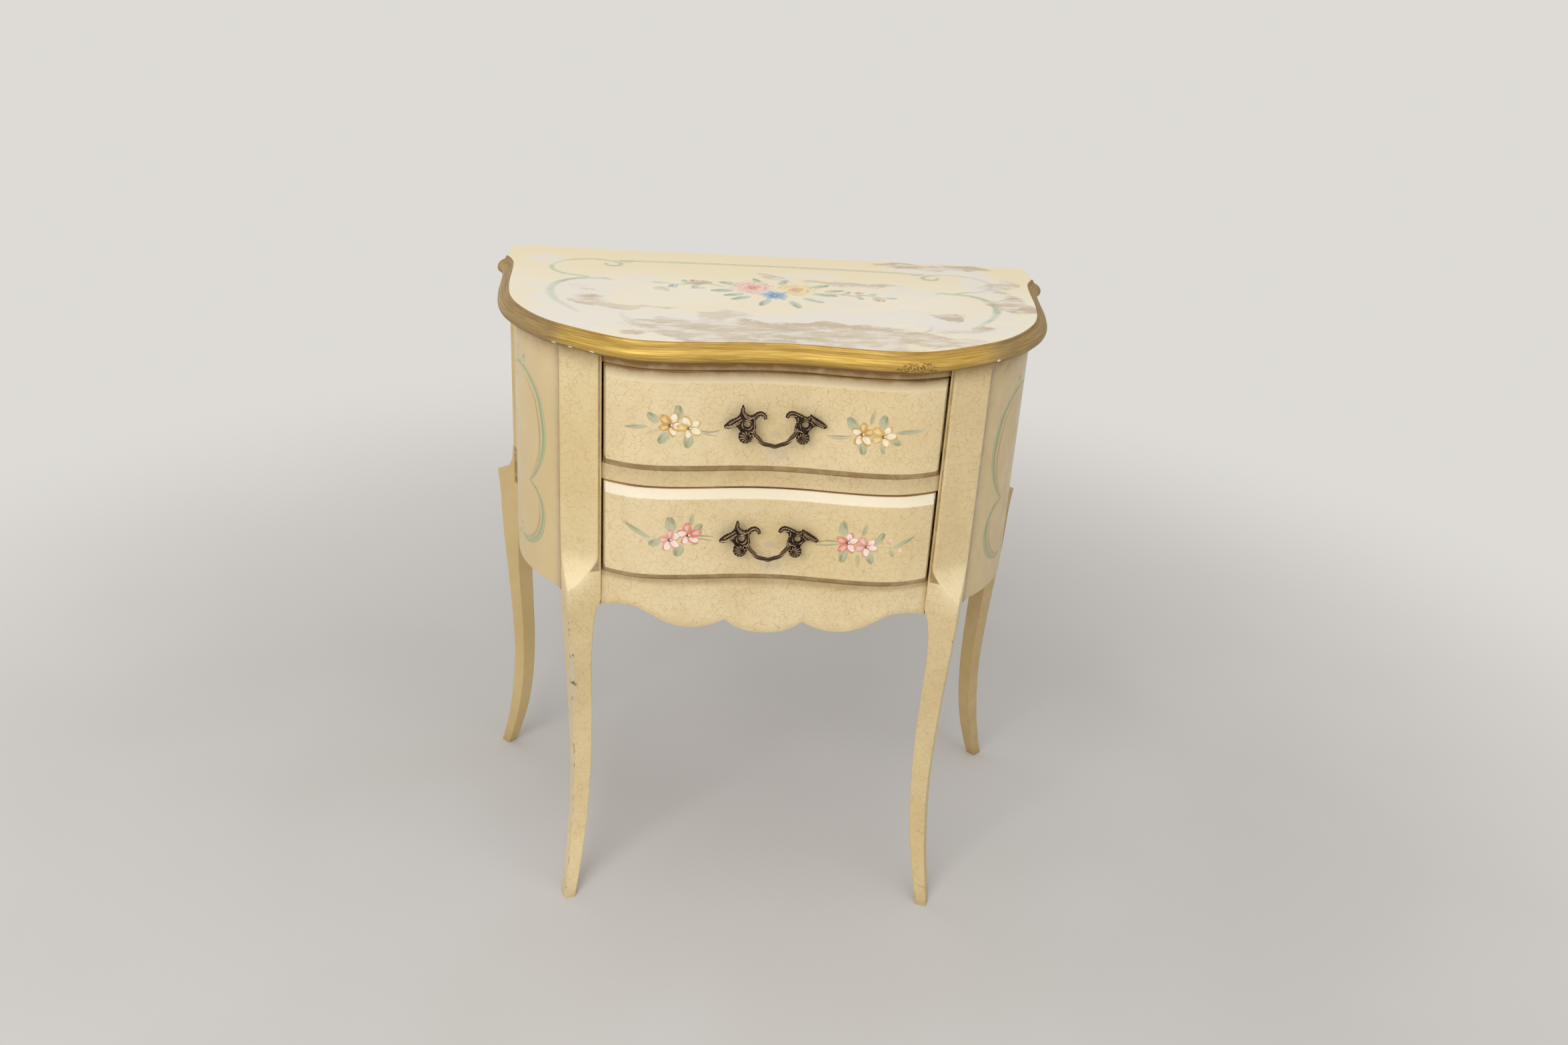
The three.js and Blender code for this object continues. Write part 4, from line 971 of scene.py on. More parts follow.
def make_back_leg(hand):
    """One back leg: the swept plank and the post, in one mesh."""
    rows = [(h * PANEL_BOTTOM, a, b, t, t) for h, a, b, t in smooth(BACK_LEG_SHARES, 7)]
    rows += [(PANEL_BOTTOM + h * SHOULDER_HEIGHT, -1, b, 1, t) for h, b, t in smooth(SHOULDER_SHARES, 5)]
    sweep, through = plank_along * BACK_SWEEP, plank_through * BACK_THICKNESS
    plank = [([back_corner + sweep * a, back_corner + sweep * b, back_corner + sweep * b + through * thick_b,
               back_corner + sweep * a + through * thick_a], z) for z, a, b, thick_a, thick_b in rows]
    post = [back_corner, back_post_front, (back_inner_x, back_post_front[1]), (back_inner_x, back_corner[1])]
    post_levels = np.linspace(PANEL_BOTTOM, case_top, 40)
    places, faces, near = joined([stacked(plank, ARRIS_RADIUS),
                                  stacked([(post, z) for z in post_levels], 1.2)])
    foot = np.exp(-places[:, 2] / 14.0)
    # Darker towards the foot and a little all over; the right leg is painted darker still, as shade.
    marks = {"paint": np.zeros((len(places), 4)), "wear": np.clip(near * 0.45 + foot * 0.3, 0, 1),
             "painted_shade_and_grime": np.clip(0.4 * foot + (0.12 if hand == "left" else 0.34), 0, 1)}
    if hand == "left":
        places = mirror_places(places)
    made = make_piece(f"back_{hand}_painted_leg", places, faces, [ochre_cream], None, marks, 50)
    stand_in(made, f"back_{hand}_leg", "case")


for hand in ("left", "right"):
    make_back_leg(hand)

# %% [markdown]
# ## Side panels
# Each side is a thin bowed sheet of smoother paint, with a sage scroll of two lobes towards
# each edge and a little posy between. The panel's outer face is a dense grid whose columns
# follow the plan curve, so the scroll can be painted on it by its distance along that curve.

# %% Side panels
PANEL_FLARE_SHARES = [(0.949, 0.224), (0.959, 0.148), (0.972, 0.085)]
PANEL_THICKNESS = 8.0
panel_start = front_arris + side_along * (POST_DEPTH + 0.3)
flare = in_plan(PANEL_FLARE_SHARES)
first_y, last_y = panel_start[1] + PANEL_THICKNESS, flare[0, 1] - PANEL_THICKNESS
kept = (right_edge[:, 1] > first_y) & (right_edge[:, 1] < last_y)
panel_end = back_corner - plank_along * 0.33 * BACK_POST - plank_through * 0.3
shallow = offset_curve(right_edge[kept], 4.0)[::12]
panel_curve = smooth(np.vstack([panel_start, shallow, flare, panel_end]), 6)
panel_length = lengths(panel_curve)[-1]


def side_scroll(picture, long):
    """Two sage lobes towards each end with a brown inner line, curls above and a posy between."""
    sage, brown, pale = srgb(150, 168, 122), srgb(166, 134, 90), srgb(206, 212, 180)
    upper = [(93, 613), (76, 616), (55, 610), (36, 592), (28, 560), (30, 534), (42, 510), (57, 494)]
    lower = [(57, 494), (42, 488), (32, 474), (31, 456), (38, 438), (52, 426), (68, 421), (78, 424)]
    curls = ((92, 612, 60, 20), (84, 618, 95, 17), (74, 616, 130, 15), (96, 606, 20, 17),
             (78, 426, -20, 15), (74, 430, 25, 12))
    for start, sign in ((0, 1), (long, -1)):
        for lobe, inside in ((upper, (7.5, -4.5)), (lower, (6.5, 1.5))):
            for points, *rest in ((lobe, 6.2, sage, 0.92, 0.25),
                                  (np.add(lobe[2:-1], inside), 2.0, brown, 0.75),
                                  (np.add(lobe[1:-1], (-1.4, 0.6)), 1.5, pale, 0.75)):
                line(picture, np.multiply(points, (sign, 1)) + (start, 0), *rest)
        for k, (u, v, angle, reach) in enumerate(curls):
            turned = angle if sign > 0 else 180 - angle
            leaf(picture, (start + sign * u, v), turned, reach, 5.5 - 0.3 * k, sage, pale)
        hook = np.multiply([(93, 613), (100, 606), (98, 598), (91, 599)], (sign, 1)) + (start, 0)
        line(picture, hook, 2.2, sage)
    leaves = ((80, 34), (110, 28), (250, 38), (285, 42), (20, 24), (160, 24), (205, 26), (335, 24))
    light, heart = srgb(240, 236, 222), srgb(100, 76, 52)
    posy = [(leaf, (2, 512), angle, reach, 7.5) for angle, reach in leaves]
    posy += [(line, [(0, 516), (4, 486), (-3, 462), (2, 440)], 1.5, SAGE, 0.8),
             (flower, (0, 522), 26, 18, light, srgb(120, 160, 190), heart),
             (flower, (17, 504), 21, 103, light, srgb(226, 150, 132), heart),
             (flower, (-15, 502), 20, -57, light, srgb(120, 160, 190), heart),
             (flower, (2, 492), 18, 28, light, srgb(222, 176, 96), heart)]
    paint(picture, posy, (long / 2, 0))


def make_side_panel(hand):
    """A bowed side with its painted scroll."""
    tall = case_top - PANEL_BOTTOM
    columns = np.concatenate([[0, 0.4, 1.2], np.arange(2.6, panel_length - 2.6, 1.3),
                              panel_length - np.array([1.2, 0.4, 0])])
    rows = np.concatenate([[0, 0.35, 1.0], np.arange(2.4, tall - 2.0, 1.45), tall - np.array([1.0, 0.35, 0])])
    plan = resample(panel_curve, columns)
    inward = offset_curve(plan, 1.0) - plan
    tuck = np.interp(rows, [0, 0.35, 1.0], [0.9, 0.25, 0.0])
    outer = plan + inward * tuck[:, None, None]
    levels = np.repeat((PANEL_BOTTOM + rows)[:, None, None], len(columns), 1)
    places, faces, kinds = board(np.concatenate([outer, levels], -1), lambda x: x)
    places[-2 * len(columns):, :2] = np.tile(plan + inward * PANEL_THICKNESS, (2, 1))
    u, v = np.tile(columns, len(rows) + 2), places[:, 2]
    picture = canvas(u, v, 1.5)
    side_scroll(picture, panel_length)
    near_post = np.exp(-((u / 7.0) ** 2)) + 0.7 * np.exp(-(((panel_length - u) / 9.0) ** 2))
    low_edge = np.exp(-((v - PANEL_BOTTOM) / 5.0) ** 2)
    # Painted shade beside the posts and under the top; the right panel is painted a little darker all over,
    # as shade.
    painted_shade_and_grime = 0.42 * near_post + 0.75 * np.exp(-((v - case_top) / 13.0) ** 2) + (0.2 if hand == "right" else 0)
    marks = {"paint": picture["rgba"], "painted_shade_and_grime": np.clip(painted_shade_and_grime, 0, 1),
             "wear": 0.42 * low_edge + 0.12 * near_post}
    if hand == "left":
        places = mirror_places(places)
    made = make_piece(f"{hand}_painted_side", places, faces, [smooth_cream, raw_z], kinds, marks)
    stand_in(made, f"{hand}_side_panel", "case")


for hand in ("left", "right"):
    make_side_panel(hand)

# %% [markdown]
# ## Top board
# The top is one board: a flat painted field, a gilded moulding that runs round the front and
# sides, and raw saw cuts at its rear corners. The moulding is one profile moved out along
# the edge, as a moulding plane would run. The field's columns join each point of the edge to
# a point of the back, which makes an even grid for the painting.

# %% Top board's painting
MOULDING_PROFILE = [(0, 0), (0.16, 0.05), (0.2, 0.14), (0.42, 0.2), (0.72, 0.29), (0.94, 0.44), (1, 0.62),
                    (0.9, 0.8), (0.62, 0.93), (0.3, 1)]
MOULDING_REACH, TOP_THICKNESS = 11.8, 20.0


def rose(picture, at, size, pale, middle, deep):
    """A full rose: wide pale petals, deeper ones within and a few thin curled strokes."""
    circles = ((0.17, 8, 0.36, 0.34, middle, pale), (0.08, 6, 0.3, 0.28, pale, middle),
               (0.02, 4, 0.2, 0.2, deep, middle))
    for radius, count, reach, wide, root, tip in circles:
        for k in range(count):
            angle = 360 / count * k + 70 * radius * count
            start = at + heading(angle) * size * radius
            petal(picture, start, angle + 16, size * reach, size * wide, root, tip, 0.82, 0.55)
    curls = ((0.1, 20, 200), (0.19, 160, 150), (0.2, 350, 120), (0.31, 70, 100), (0.33, 210, 80),
             (0.32, 320, 70), (0.43, 120, 60), (0.44, 250, 50), (0.43, 10, 55))
    for radius, first, sweep in curls:
        arc = [at + size * radius * heading(first + sweep * t) for t in np.linspace(0, 1, 5)]
        line(picture, arc, 1.5, deep, 0.8, 0.2, 4)


def top_bouquet(picture):
    """A rose, a yellow rose and a blue flower in leaves, with a spray to each side."""
    green, deep_green, pale_green = srgb(160, 184, 154), srgb(124, 152, 126), srgb(206, 220, 196)
    share = 0.86
    picture = dict(picture, u=picture["u"] / share, v=(picture["v"] - 3) / share)
    for x, y, angle, length, width in (
            (-44, 26, 158, 26, 10), (-50, 2, 186, 28, 11), (-14, 34, 118, 24, 9), (8, 34, 70, 24, 9),
            (44, 26, 32, 28, 10), (46, 2, -6, 30, 10), (-30, -18, 214, 28, 10), (-8, -28, 246, 26, 10),
            (18, -30, 292, 28, 10), (34, -16, 330, 28, 10), (-38, -10, 200, 26, 9), (62, 14, 18, 24, 8)):
        leaf(picture, (x, y), angle, length, width, deep_green, pale_green, 0.92)
        half = heading(angle) * length * 0.425
        line(picture, [(x, y), (x, y + 0.8) + half, (x, y) + half * 2], 1.2, deep_green, 0.8, 0.2, 4)
    line(picture, [(-60, 16), (-88, 26), (-116, 18), (-134, 22)], 2.0, deep_green, 0.8)
    line(picture, [(64, 10), (92, 2), (112, 6), (132, -2)], 2.0, deep_green, 0.8)
    for x, y, angle in ((-78, 24, 130), (-92, 22, 240), (-106, 22, 110), (-118, 18, 230), (-84, 8, 190),
                        (-132, 21, 175), (84, 4, 60), (98, 4, -60), (112, 4, 40), (122, 0, -50),
                        (132, -2, 5)):
        leaf(picture, (x, y), angle, 17, 7.0, green, pale_green, 0.9)
    for x, y, colour in ((-99, 34, srgb(230, 140, 130)), (-124, 10, srgb(120, 160, 200)),
                         (104, 14, srgb(230, 140, 130)), (126, -12, srgb(236, 180, 96))):
        flower(picture, (x, y), 12, 40, srgb(246, 240, 228), colour, srgb(120, 84, 52))
    rose(picture, (-27, 18), 52, srgb(254, 234, 222), srgb(244, 190, 176), srgb(218, 110, 104))
    rose(picture, (26, 16), 48, srgb(254, 242, 206), srgb(246, 212, 140), srgb(214, 144, 70))
    blue, pale_blue, deep_blue = srgb(74, 132, 196), srgb(176, 210, 232), srgb(52, 92, 150)
    heart, centre = srgb(52, 62, 84), srgb(244, 220, 140)
    for k in range(11):
        angle = k * 360 / 11 + 12
        petal(picture, (0, -10), angle, 20 if k % 2 else 16, 8.0, blue, pale_blue, 0.95, 0.6)
        line(picture, [(0, -10) + heading(angle) * 3, (0, -10) + heading(angle) * 12], 1.0, deep_blue, 0.6)
    for k in range(6):
        petal(picture, (-1, -10) + heading(k * 60) * 2.8, k * 60, 2.6, 2.2, heart, heart, 0.95, 0.5)
    petal(picture, (-1.8, -10), 0, 3.6, 3.6, centre, centre, 0.95, 0.5)


def top_border(picture):
    """Thin sage lines and crescents that frame the flowers, alike on both sides."""
    sage, deep = srgb(178, 196, 166), srgb(152, 174, 146)
    line(picture, [(-166, 96), (-80, 99), (0, 100), (80, 99), (166, 96)], 3.0, sage, 0.95, 0.9, 16)
    line(picture, [(-82, -119), (-30, -128), (20, -131), (80, -124), (140, -108)], 2.8, sage, 0.6, 0.7, 16)
    curls = [
        ([(172, 92), (188, 97), (206, 96), (224, 88), (236, 72), (235, 54), (222, 40), (204, 34), (190, 26)],
         3.2, sage, 0.95, 0.8),
        ([(172, 92), (164, 84), (168, 76), (178, 76), (181, 84)], 3.2, deep, 0.9, 0.5),
        ([(166, 96), (158, 92), (152, 96)], 3.0, deep, 0.8, 0.5),
        ([(190, 26), (212, 20), (226, 4), (230, -20), (222, -48), (208, -70), (196, -86)],
         6.5, sage, 0.95, 0.35),
        ([(196, 30), (216, 18), (227, -4), (226, -30)], 2.4, deep, 0.8, 0.5),
        ([(190, 26), (178, 28), (172, 24)], 3.4, deep, 0.85, 0.5),
        ([(154, -84), (150, -98), (140, -108)], 2.8, sage, 0.7, 0.5)]
    for sign in (-1, 1):
        for points, *rest in curls:
            line(picture, np.multiply(points, (sign, 1)), *rest)


print("the moulding's profile has", len(MOULDING_PROFILE), "points")

# %% Top board's mesh
WORN_PATCHES = [
    (1.0, -163, -62, 28, 10), (0.75, -120, -64, 30, 6), (0.62, -178, -50, 34, 20), (0.55, -199, -10, 28, 28),
    (1.0, -116, -1, 11, 11), (0.9, -85, 31, 13, 8), (0.95, -59, -76, 34, 16), (0.85, -95, -112, 80, 22),
    (1.0, -40, -136, 100, 19), (0.95, -5, 64, 26, 9), (0.9, 5, 55, 16, 9), (1.0, 88, 46, 66, 10),
    (1.05, 177, 125, 84, 13), (1.0, 250, -2, 24, 34), (0.9, 246, 66, 22, 30), (1.0, 180, -55, 15, 8),
    (0.6, 186, -48, 34, 17), (1.0, 60, -99, 92, 12), (0.75, 24, -118, 90, 12), (0.9, 30, -140, 130, 16),
    (0.95, 138, -126, 78, 17), (0.9, 113, 0, 9, 5), (0.7, 196, -92, 36, 16), (0.5, -244, 94, 22, 10)]
SCUFF_PATCHES = [
    (1.1, -200, -100, 44, 46), (0.9, -215, -30, 46, 50), (1.0, -120, -100, 90, 30), (1.1, 0, -92, 90, 18),
    (1.15, 76, -66, 78, 20), (1.1, 64, -22, 30, 11), (1.0, 150, -60, 60, 30), (1.0, 205, -92, 50, 26),
    (0.9, -20, -150, 130, 16), (0.95, 226, 60, 34, 50), (0.9, 180, 108, 80, 14), (0.9, -245, 92, 30, 24),
    (0.7, -150, 20, 60, 40), (0.9, 20, 70, 60, 10), (0.8, 140, 20, 60, 20), (0.8, 236, -44, 24, 20)]
CHIPS = [(1, -214, 664, 3.2, 1.7), (1, -176, 664, 3.2, 1.7), (1, -198, 663, 3.2, 1.7),
         (1, 214, 665, 3.2, 1.7)]


def patches(x, y, rows):
    """Soft round patches, each from its strength, the two places of its middle and its two reaches."""
    return sum(strength * np.exp(-(((x - at_x) / reach_x) ** 2 + ((y - at_y) / reach_y) ** 2) ** 1.4)
               for strength, at_x, at_y, reach_x, reach_y in rows)


def make_top():
    """The whole top board, with masks for worn streaks, scuffs, rubbed gold, a dark line and painted shade on
    the moulding, and chips.
    """
    run = lengths(right_edge)
    turn_at = np.interp(212, right_edge[:, 0], run)
    places_along = np.concatenate([np.arange(0, 138, 1.35), np.arange(138, turn_at, 2.4),
                                   np.linspace(turn_at, run[-1], 86)])
    half_edge = resample(right_edge, places_along)
    edge = np.vstack([half_edge[1:][::-1] * (-1, 1), half_edge])
    raw_corner, raw_side = HALF_WIDTH - 2.2, HALF_WIDTH - 0.6
    width = np.abs(edge[:, 0])
    share = np.clip((width - 0.984 * HALF_WIDTH) / (0.016 * HALF_WIDTH), 0, 1)
    back_x = np.where(share > 0, raw_corner + share * (raw_side - raw_corner), np.minimum(width, raw_corner))
    rear = np.column_stack([np.sign(edge[:, 0]) * back_x, back_edge - share * (RAW_SIDE - 0.6)])
    count = len(edge)
    loop = 2 * count
    profile = smooth(MOULDING_PROFILE, 2)
    along = lengths(edge)
    around = np.concatenate([along, along[::-1]]) * MM
    rings, path, drops = [], [], []
    for (reach, drop), far in zip(profile, lengths(profile * (MOULDING_REACH, TOP_THICKNESS))):
        ring = np.vstack([offset_curve(edge, -reach * MOULDING_REACH), rear[::-1]])
        rings.append(np.column_stack([ring, np.full(loop, HEIGHT - drop * TOP_THICKNESS)]))
        path.append(np.column_stack([around, np.full(loop, far * MM), np.zeros(loop)]))
        drops += [np.full(count, drop), np.full(count, -1.0)]
    t = spaced(0, 1, [(0.39, 0.7)], 0.0042, 0.0085)[:, None, None]
    level = np.full((len(t), count, 1), HEIGHT)
    field = np.concatenate([edge * (1 - t) + rear * t, level], -1).reshape(-1, 3)
    start, last = len(rings) * loop, (len(rings) - 1) * loop
    faces = grid_faces(len(rings), loop, closed=True) + grid_faces(len(t), count, start)
    faces += [[last + j, last + j + 1, last + loop - 2 - j, last + loop - 1 - j] for j in range(count - 1)]
    kinds = [1 if j < count - 1 else 2 for j in range(loop)] * (len(rings) - 1)
    kinds += [0] * ((len(t) - 1) * (count - 1)) + [2] * (count - 1)
    places = np.vstack([*rings, field])
    x, y, z = places.T
    picture = canvas(x, y)
    picture["u"][:start] = 1e6  # the moulding lies out of every brush's reach
    top_border(dict(picture, soft=3.2))
    top_bouquet(picture)
    from_edge = y - np.interp(x, edge[:, 0], edge[:, 1])
    torn_x = x + 7 * np.sin(y / 8.0 + 1.3) + 5 * np.sin(x / 15 + y / 11)
    torn_y = y + 4 * np.sin(x / 13 + 0.7) + 3 * np.sin(x / 6.5 + y / 10)
    worn = patches(torn_x, torn_y, WORN_PATCHES)
    worn += 0.85 * np.exp(-((from_edge / 19.0) ** 2) - ((x - 25) / 125) ** 4)
    scuff = patches(torn_x, torn_y, SCUFF_PATCHES) + 0.2 * np.exp(-((from_edge / 12.0) ** 2))
    drop = np.concatenate([*drops, np.full(len(field), -1.0)])
    # The gold is dulled towards the sides, as rubbed, and on the lower part of the profile, as painted shade.
    dull_and_shaded = np.clip((np.abs(x) - 180) / 60, 0, 1) * (np.arange(len(places)) < start)
    dull_and_shaded = np.clip(dull_and_shaded + 0.75 * np.clip((drop - 0.72) / 0.2, 0, 1), 0, 1)
    # A dark line where the moulding meets the field, and painted shade on its underside.
    rim = 0.45 * np.exp(-((drop - 0.07) / 0.07) ** 2) * (drop >= 0) + 1.3 * np.clip((drop - 0.8) / 0.16, 0, 1)
    flake = patches(x, z, [(1, 131, 666, 24, 9)]) * (y < -80) * (drop >= 0.2)
    chip = patches(x, z, CHIPS) * (drop > 0.2) * (y < 0)
    marks = {"paint": picture["rgba"], "worn": np.clip(worn, 0, 1), "scuff": np.clip(scuff, 0, 1),
             "dull_and_shaded": dull_and_shaded, "painted_shade_and_grime": rim, "flake": flake, "chip": chip,
             "path": np.vstack([*path, np.zeros((len(field), 3))])}
    ripple = np.sin(x * 2.9 + z * 1.7) * np.sin(z * 3.7 - x * 0.9)
    places[:, 1] += ripple * np.clip(flake * 1.6 - 0.35, 0, 1) * 0.8
    made = make_piece("painted_top", places, faces, [ivory_top, gilt_edge, raw_x], kinds, marks, 60)
    stand_in(made, "top_board", "case")


make_top()

# %% [markdown]
# ## Dark bronze
# The pulls are cast metal that was browned and then rubbed by hands. They could be one plain
# metal, but the modelling only reads when hollows are nearly black and ridges catch light, so
# the mesh says how high each point stands and the metal follows it.

# %% Dark bronze and screw steel


def make_bronze():
    """Aged cast metal: nearly black in its hollows, brown where hands rub it."""
    material, where = new_material("dark_bronze")
    cloudy = noise(where, 480.0, 3.0, 0.6)
    high = between(attribute(where, "relief") + cloudy * 0.5, 0.45, 1.15)
    colour = blend(high, srgb(50, 40, 31), srgb(172, 145, 114))
    colour = blend(between(noise(where, 130.0), 0.45, 0.65) * 0.4, colour, srgb(82, 60, 40))
    inputs = {"Base Color": colour, "Metallic": 0.85, "Roughness": between(high, 0.0, 1.0, 0.5, 0.3)}
    return dress(material, inputs, cloudy + noise(where, 900.0, 4.0, 0.7), 0.0004, 0.8)


def make_steel():
    """Zinc-plated screw steel with a brushed face and a few brown specks."""
    material, where = new_material("screw_steel")
    scratches = noise(where, (240.0, 2400.0, 240.0), 3.0, 0.6)
    colour = blend(between(scratches, 0.4, 0.65), srgb(176, 172, 162), srgb(140, 136, 126))
    specks = between(noise(where, 700.0), 0.6, 0.68)
    colour = blend(specks, colour, srgb(112, 76, 44))
    rough = between(scratches, 0.3, 0.7, 0.28, 0.45)
    inputs = {"Base Color": colour, "Metallic": specks * -0.6 + 0.95, "Roughness": rough}
    return dress(material, inputs, scratches, 0.0001, 0.5)


dark_bronze, screw_steel = make_bronze(), make_steel()
print("metals:", dark_bronze.name, screw_steel.name)

# %% [markdown]
# ## Geometry Nodes by script
# What repeats or follows a path is easiest as a node tree: here the bail of each pull, which
# is one ribbed section swept along a bent path, and the screws. A tree has named inputs, and
# a modifier's value is set by the input's identifier. The result is taken out as a mesh.

# %% Node tree helpers


def node_tree(name, sizes):
    """A Geometry Nodes tree with a mesh in and out and named sizes, and what goes into it by name."""
    tree = bpy.data.node_groups.new(name, "GeometryNodeTree")
    tree.interface.new_socket("Geometry", in_out="INPUT", socket_type="NodeSocketGeometry")
    tree.interface.new_socket("Geometry", in_out="OUTPUT", socket_type="NodeSocketGeometry")
    for label in sizes:
        tree.interface.new_socket(label, in_out="INPUT", socket_type="NodeSocketFloat")
    tree.interface.new_socket("Finish", in_out="INPUT", socket_type="NodeSocketMaterial")
    return tree, {socket.name: Value(tree, socket) for socket in tree.nodes.new("NodeGroupInput").outputs}


def finish_tree(tree, given, geometry):
    """Ends a tree by making its instances real and giving them their material."""
    real = value(tree, "GeometryNodeRealizeInstances", {"Geometry": geometry})
    dressed = value(tree, "GeometryNodeSetMaterial", {"Geometry": real, "Material": given["Finish"]})
    add(tree, "NodeGroupOutput", {0: dressed})
    return tree


def grown(tree, mesh, given):
    """The mesh that a tree makes from a mesh, its sizes and its finish."""
    carrier = new_object(tree.name, mesh)
    modifier = carrier.modifiers.new(tree.name, "NODES")
    modifier.node_group = tree
    for item in tree.interface.items_tree:
        if item.in_out == "INPUT" and item.name in given:
            modifier[item.identifier] = given[item.name]
    made = bpy.data.meshes.new_from_object(carrier.evaluated_get(bpy.context.evaluated_depsgraph_get()))
    carrier.modifiers.remove(modifier)
    bpy.data.objects.remove(carrier)
    return made


def bail_tree():
    """A ribbed section swept along a path, twisted both ways from its middle."""
    tree, given = node_tree("bail", ["Section radius", "Rib depth", "Twist"])
    radius = given["Section radius"]
    path = value(tree, "GeometryNodeMeshToCurve", {"Mesh": given["Geometry"]})
    middle_gap = step("ABSOLUTE", value(tree, "GeometryNodeSplineParameter", None, "Factor") - 0.5)
    twisted = value(tree, "GeometryNodeSetCurveTilt", {"Curve": path, "Tilt": middle_gap * given["Twist"]})
    inputs = {"Points": 5, "Inner Radius": radius - given["Rib depth"], "Outer Radius": radius}
    star = value(tree, "GeometryNodeCurveStar", inputs)
    section = value(tree, "GeometryNodeSubdivideCurve", {"Curve": star, "Cuts": 1})
    inputs = {"Curve": twisted, "Profile Curve": section, "Scale": middle_gap * 0.5 + 0.82, "Fill Caps": True}
    return finish_tree(tree, given, value(tree, "GeometryNodeCurveToMesh", inputs))


def screw_tree():
    """A flat-headed slotted screw with a spiral thread at each point, head down."""
    tree, given = node_tree("screws", ["Head radius", "Head height", "Shank radius", "Length"])
    wide, tall, shank_radius = given["Head radius"], given["Head height"], given["Shank radius"]

    def raised(part, height):
        shift = value(tree, "ShaderNodeCombineXYZ", {"Z": height})
        return value(tree, "GeometryNodeTransform", {"Geometry": part, "Translation": shift})

    inputs = {"Vertices": 32, "Radius Top": shank_radius, "Radius Bottom": wide, "Depth": tall}
    head = value(tree, "GeometryNodeMeshCone", inputs)
    size = value(tree, "ShaderNodeCombineXYZ", {"X": wide * 3.0, "Y": wide * 0.24, "Z": tall * 0.8})
    inputs = {"Mesh 1": head, "Mesh 2": value(tree, "GeometryNodeMeshCube", {"Size": size})}
    cut = value(tree, "GeometryNodeMeshBoolean", inputs, operation="DIFFERENCE")
    core = shank_radius * 0.78
    tip = core * 0.15
    inputs = {"Vertices": 20, "Side Segments": 6, "Radius Top": tip, "Radius Bottom": core,
              "Depth": given["Length"]}
    shank = value(tree, "GeometryNodeMeshCone", inputs)
    run = given["Length"] * 0.86
    turns = step("DIVIDE", run, shank_radius * 0.62)
    inputs = {"Resolution": 16, "Rotations": turns, "Start Radius": core, "End Radius": tip, "Height": run}
    spiral = value(tree, "GeometryNodeCurveSpiral", inputs)
    inputs = {"Resolution": 3, "Radius": shank_radius * 0.2}
    ridge = value(tree, "GeometryNodeCurvePrimitiveCircle", inputs)
    inputs = {"Curve": spiral, "Profile Curve": ridge, "Fill Caps": True}
    thread = value(tree, "GeometryNodeCurveToMesh", inputs)
    whole = add(tree, "GeometryNodeJoinGeometry")
    for part in (raised(thread, tall * 0.7), raised(shank, 0.0), cut):
        tree.links.new(part.socket, whole.inputs[0])
    inputs = {"Points": given["Geometry"], "Instance": Value(tree, whole.outputs[0])}
    return finish_tree(tree, given, value(tree, "GeometryNodeInstanceOnPoints", inputs))


BAIL, SCREWS = bail_tree(), screw_tree()
print("node trees:", BAIL.name, "and", SCREWS.name)

# %% [markdown]
# ## Drawer pulls
# Each pull is one casting: two leafy plates pierced by an eye, a bail between them, and a
# fluted shell and a post under each plate. A plate starts as an outline filled with a fine
# triangle net. Its front swells away from the rim, and ridges rise along a few drawn lines.

# %% Plates with drawn relief
PULL_HALF, PULL_RISE, PLATE_THICKNESS, EYE_RADIUS = 28.3, 20.3, 4.0, 3.2
NET = 0.42
PULL_STANDOFF, PULL_BOW, POST_DROP, BAIL_RADIUS = 10.0, 7.0, 12.0, 2.4
LEFT_PLATE = [(-1.75, -0.19), (-1.64, -0.01), (-1.52, 0.13), (-1.4, 0.21), (-1.29, 0.32), (-1.22, 0.48),
              (-1.19, 0.7), (-1.13, 0.92), (-1.07, 0.78), (-1.05, 0.58), (-0.98, 0.46), (-0.87, 0.4),
              (-0.76, 0.45), (-0.65, 0.57), (-0.51, 0.62), (-0.38, 0.54), (-0.3, 0.37), (-0.31, 0.24),
              (-0.39, 0.24), (-0.45, 0.33), (-0.55, 0.33), (-0.65, 0.23), (-0.68, 0.07), (-0.66, -0.13),
              (-0.66, -0.47), (-0.85, -0.58), (-1.06, -0.58), (-1.22, -0.36), (-1.29, -0.23), (-1.43, -0.21),
              (-1.56, -0.31), (-1.7, -0.3)]
RIGHT_PLATE = [(1.75, -0.01), (1.65, 0.15), (1.52, 0.27), (1.4, 0.38), (1.27, 0.48), (1.18, 0.57),
               (1.12, 0.46), (1.01, 0.44), (0.87, 0.54), (0.72, 0.63), (0.58, 0.7), (0.45, 0.67),
               (0.35, 0.54), (0.33, 0.38), (0.4, 0.33), (0.47, 0.39), (0.59, 0.4), (0.67, 0.3),
               (0.7, 0.13), (0.66, -0.05), (0.65, -0.4), (0.85, -0.52), (1.04, -0.53), (1.2, -0.2),
               (1.33, -0.05), (1.47, -0.04), (1.61, -0.11), (1.71, -0.11)]
LEFT_RIDGES = [[(-1.2, 0.31), (-1.42, 0.12), (-1.56, -0.04)], [(-1.15, 0.19), (-1.38, -0.03), (-1.56, -0.18)],
               [(-1.22, 0.02), (-1.42, -0.14), (-1.68, -0.2)],
               [(-1.12, 0.8), (-1.12, 0.58), (-1.03, 0.34), (-0.89, 0.25), (-0.76, 0.34)],
               [(-1.06, 0.6), (-0.98, 0.4), (-0.86, 0.33)],
               [(-0.73, 0.31), (-0.63, 0.49), (-0.5, 0.55), (-0.4, 0.48), (-0.34, 0.34)],
               [(-0.6, 0.36), (-0.5, 0.42), (-0.42, 0.38)],
               [(-0.73, 0.28), (-0.71, 0.07), (-0.72, -0.13), (-0.69, -0.4)],
               [(-1.09, -0.43), (-0.94, -0.38), (-0.78, -0.4), (-0.69, -0.34)]]
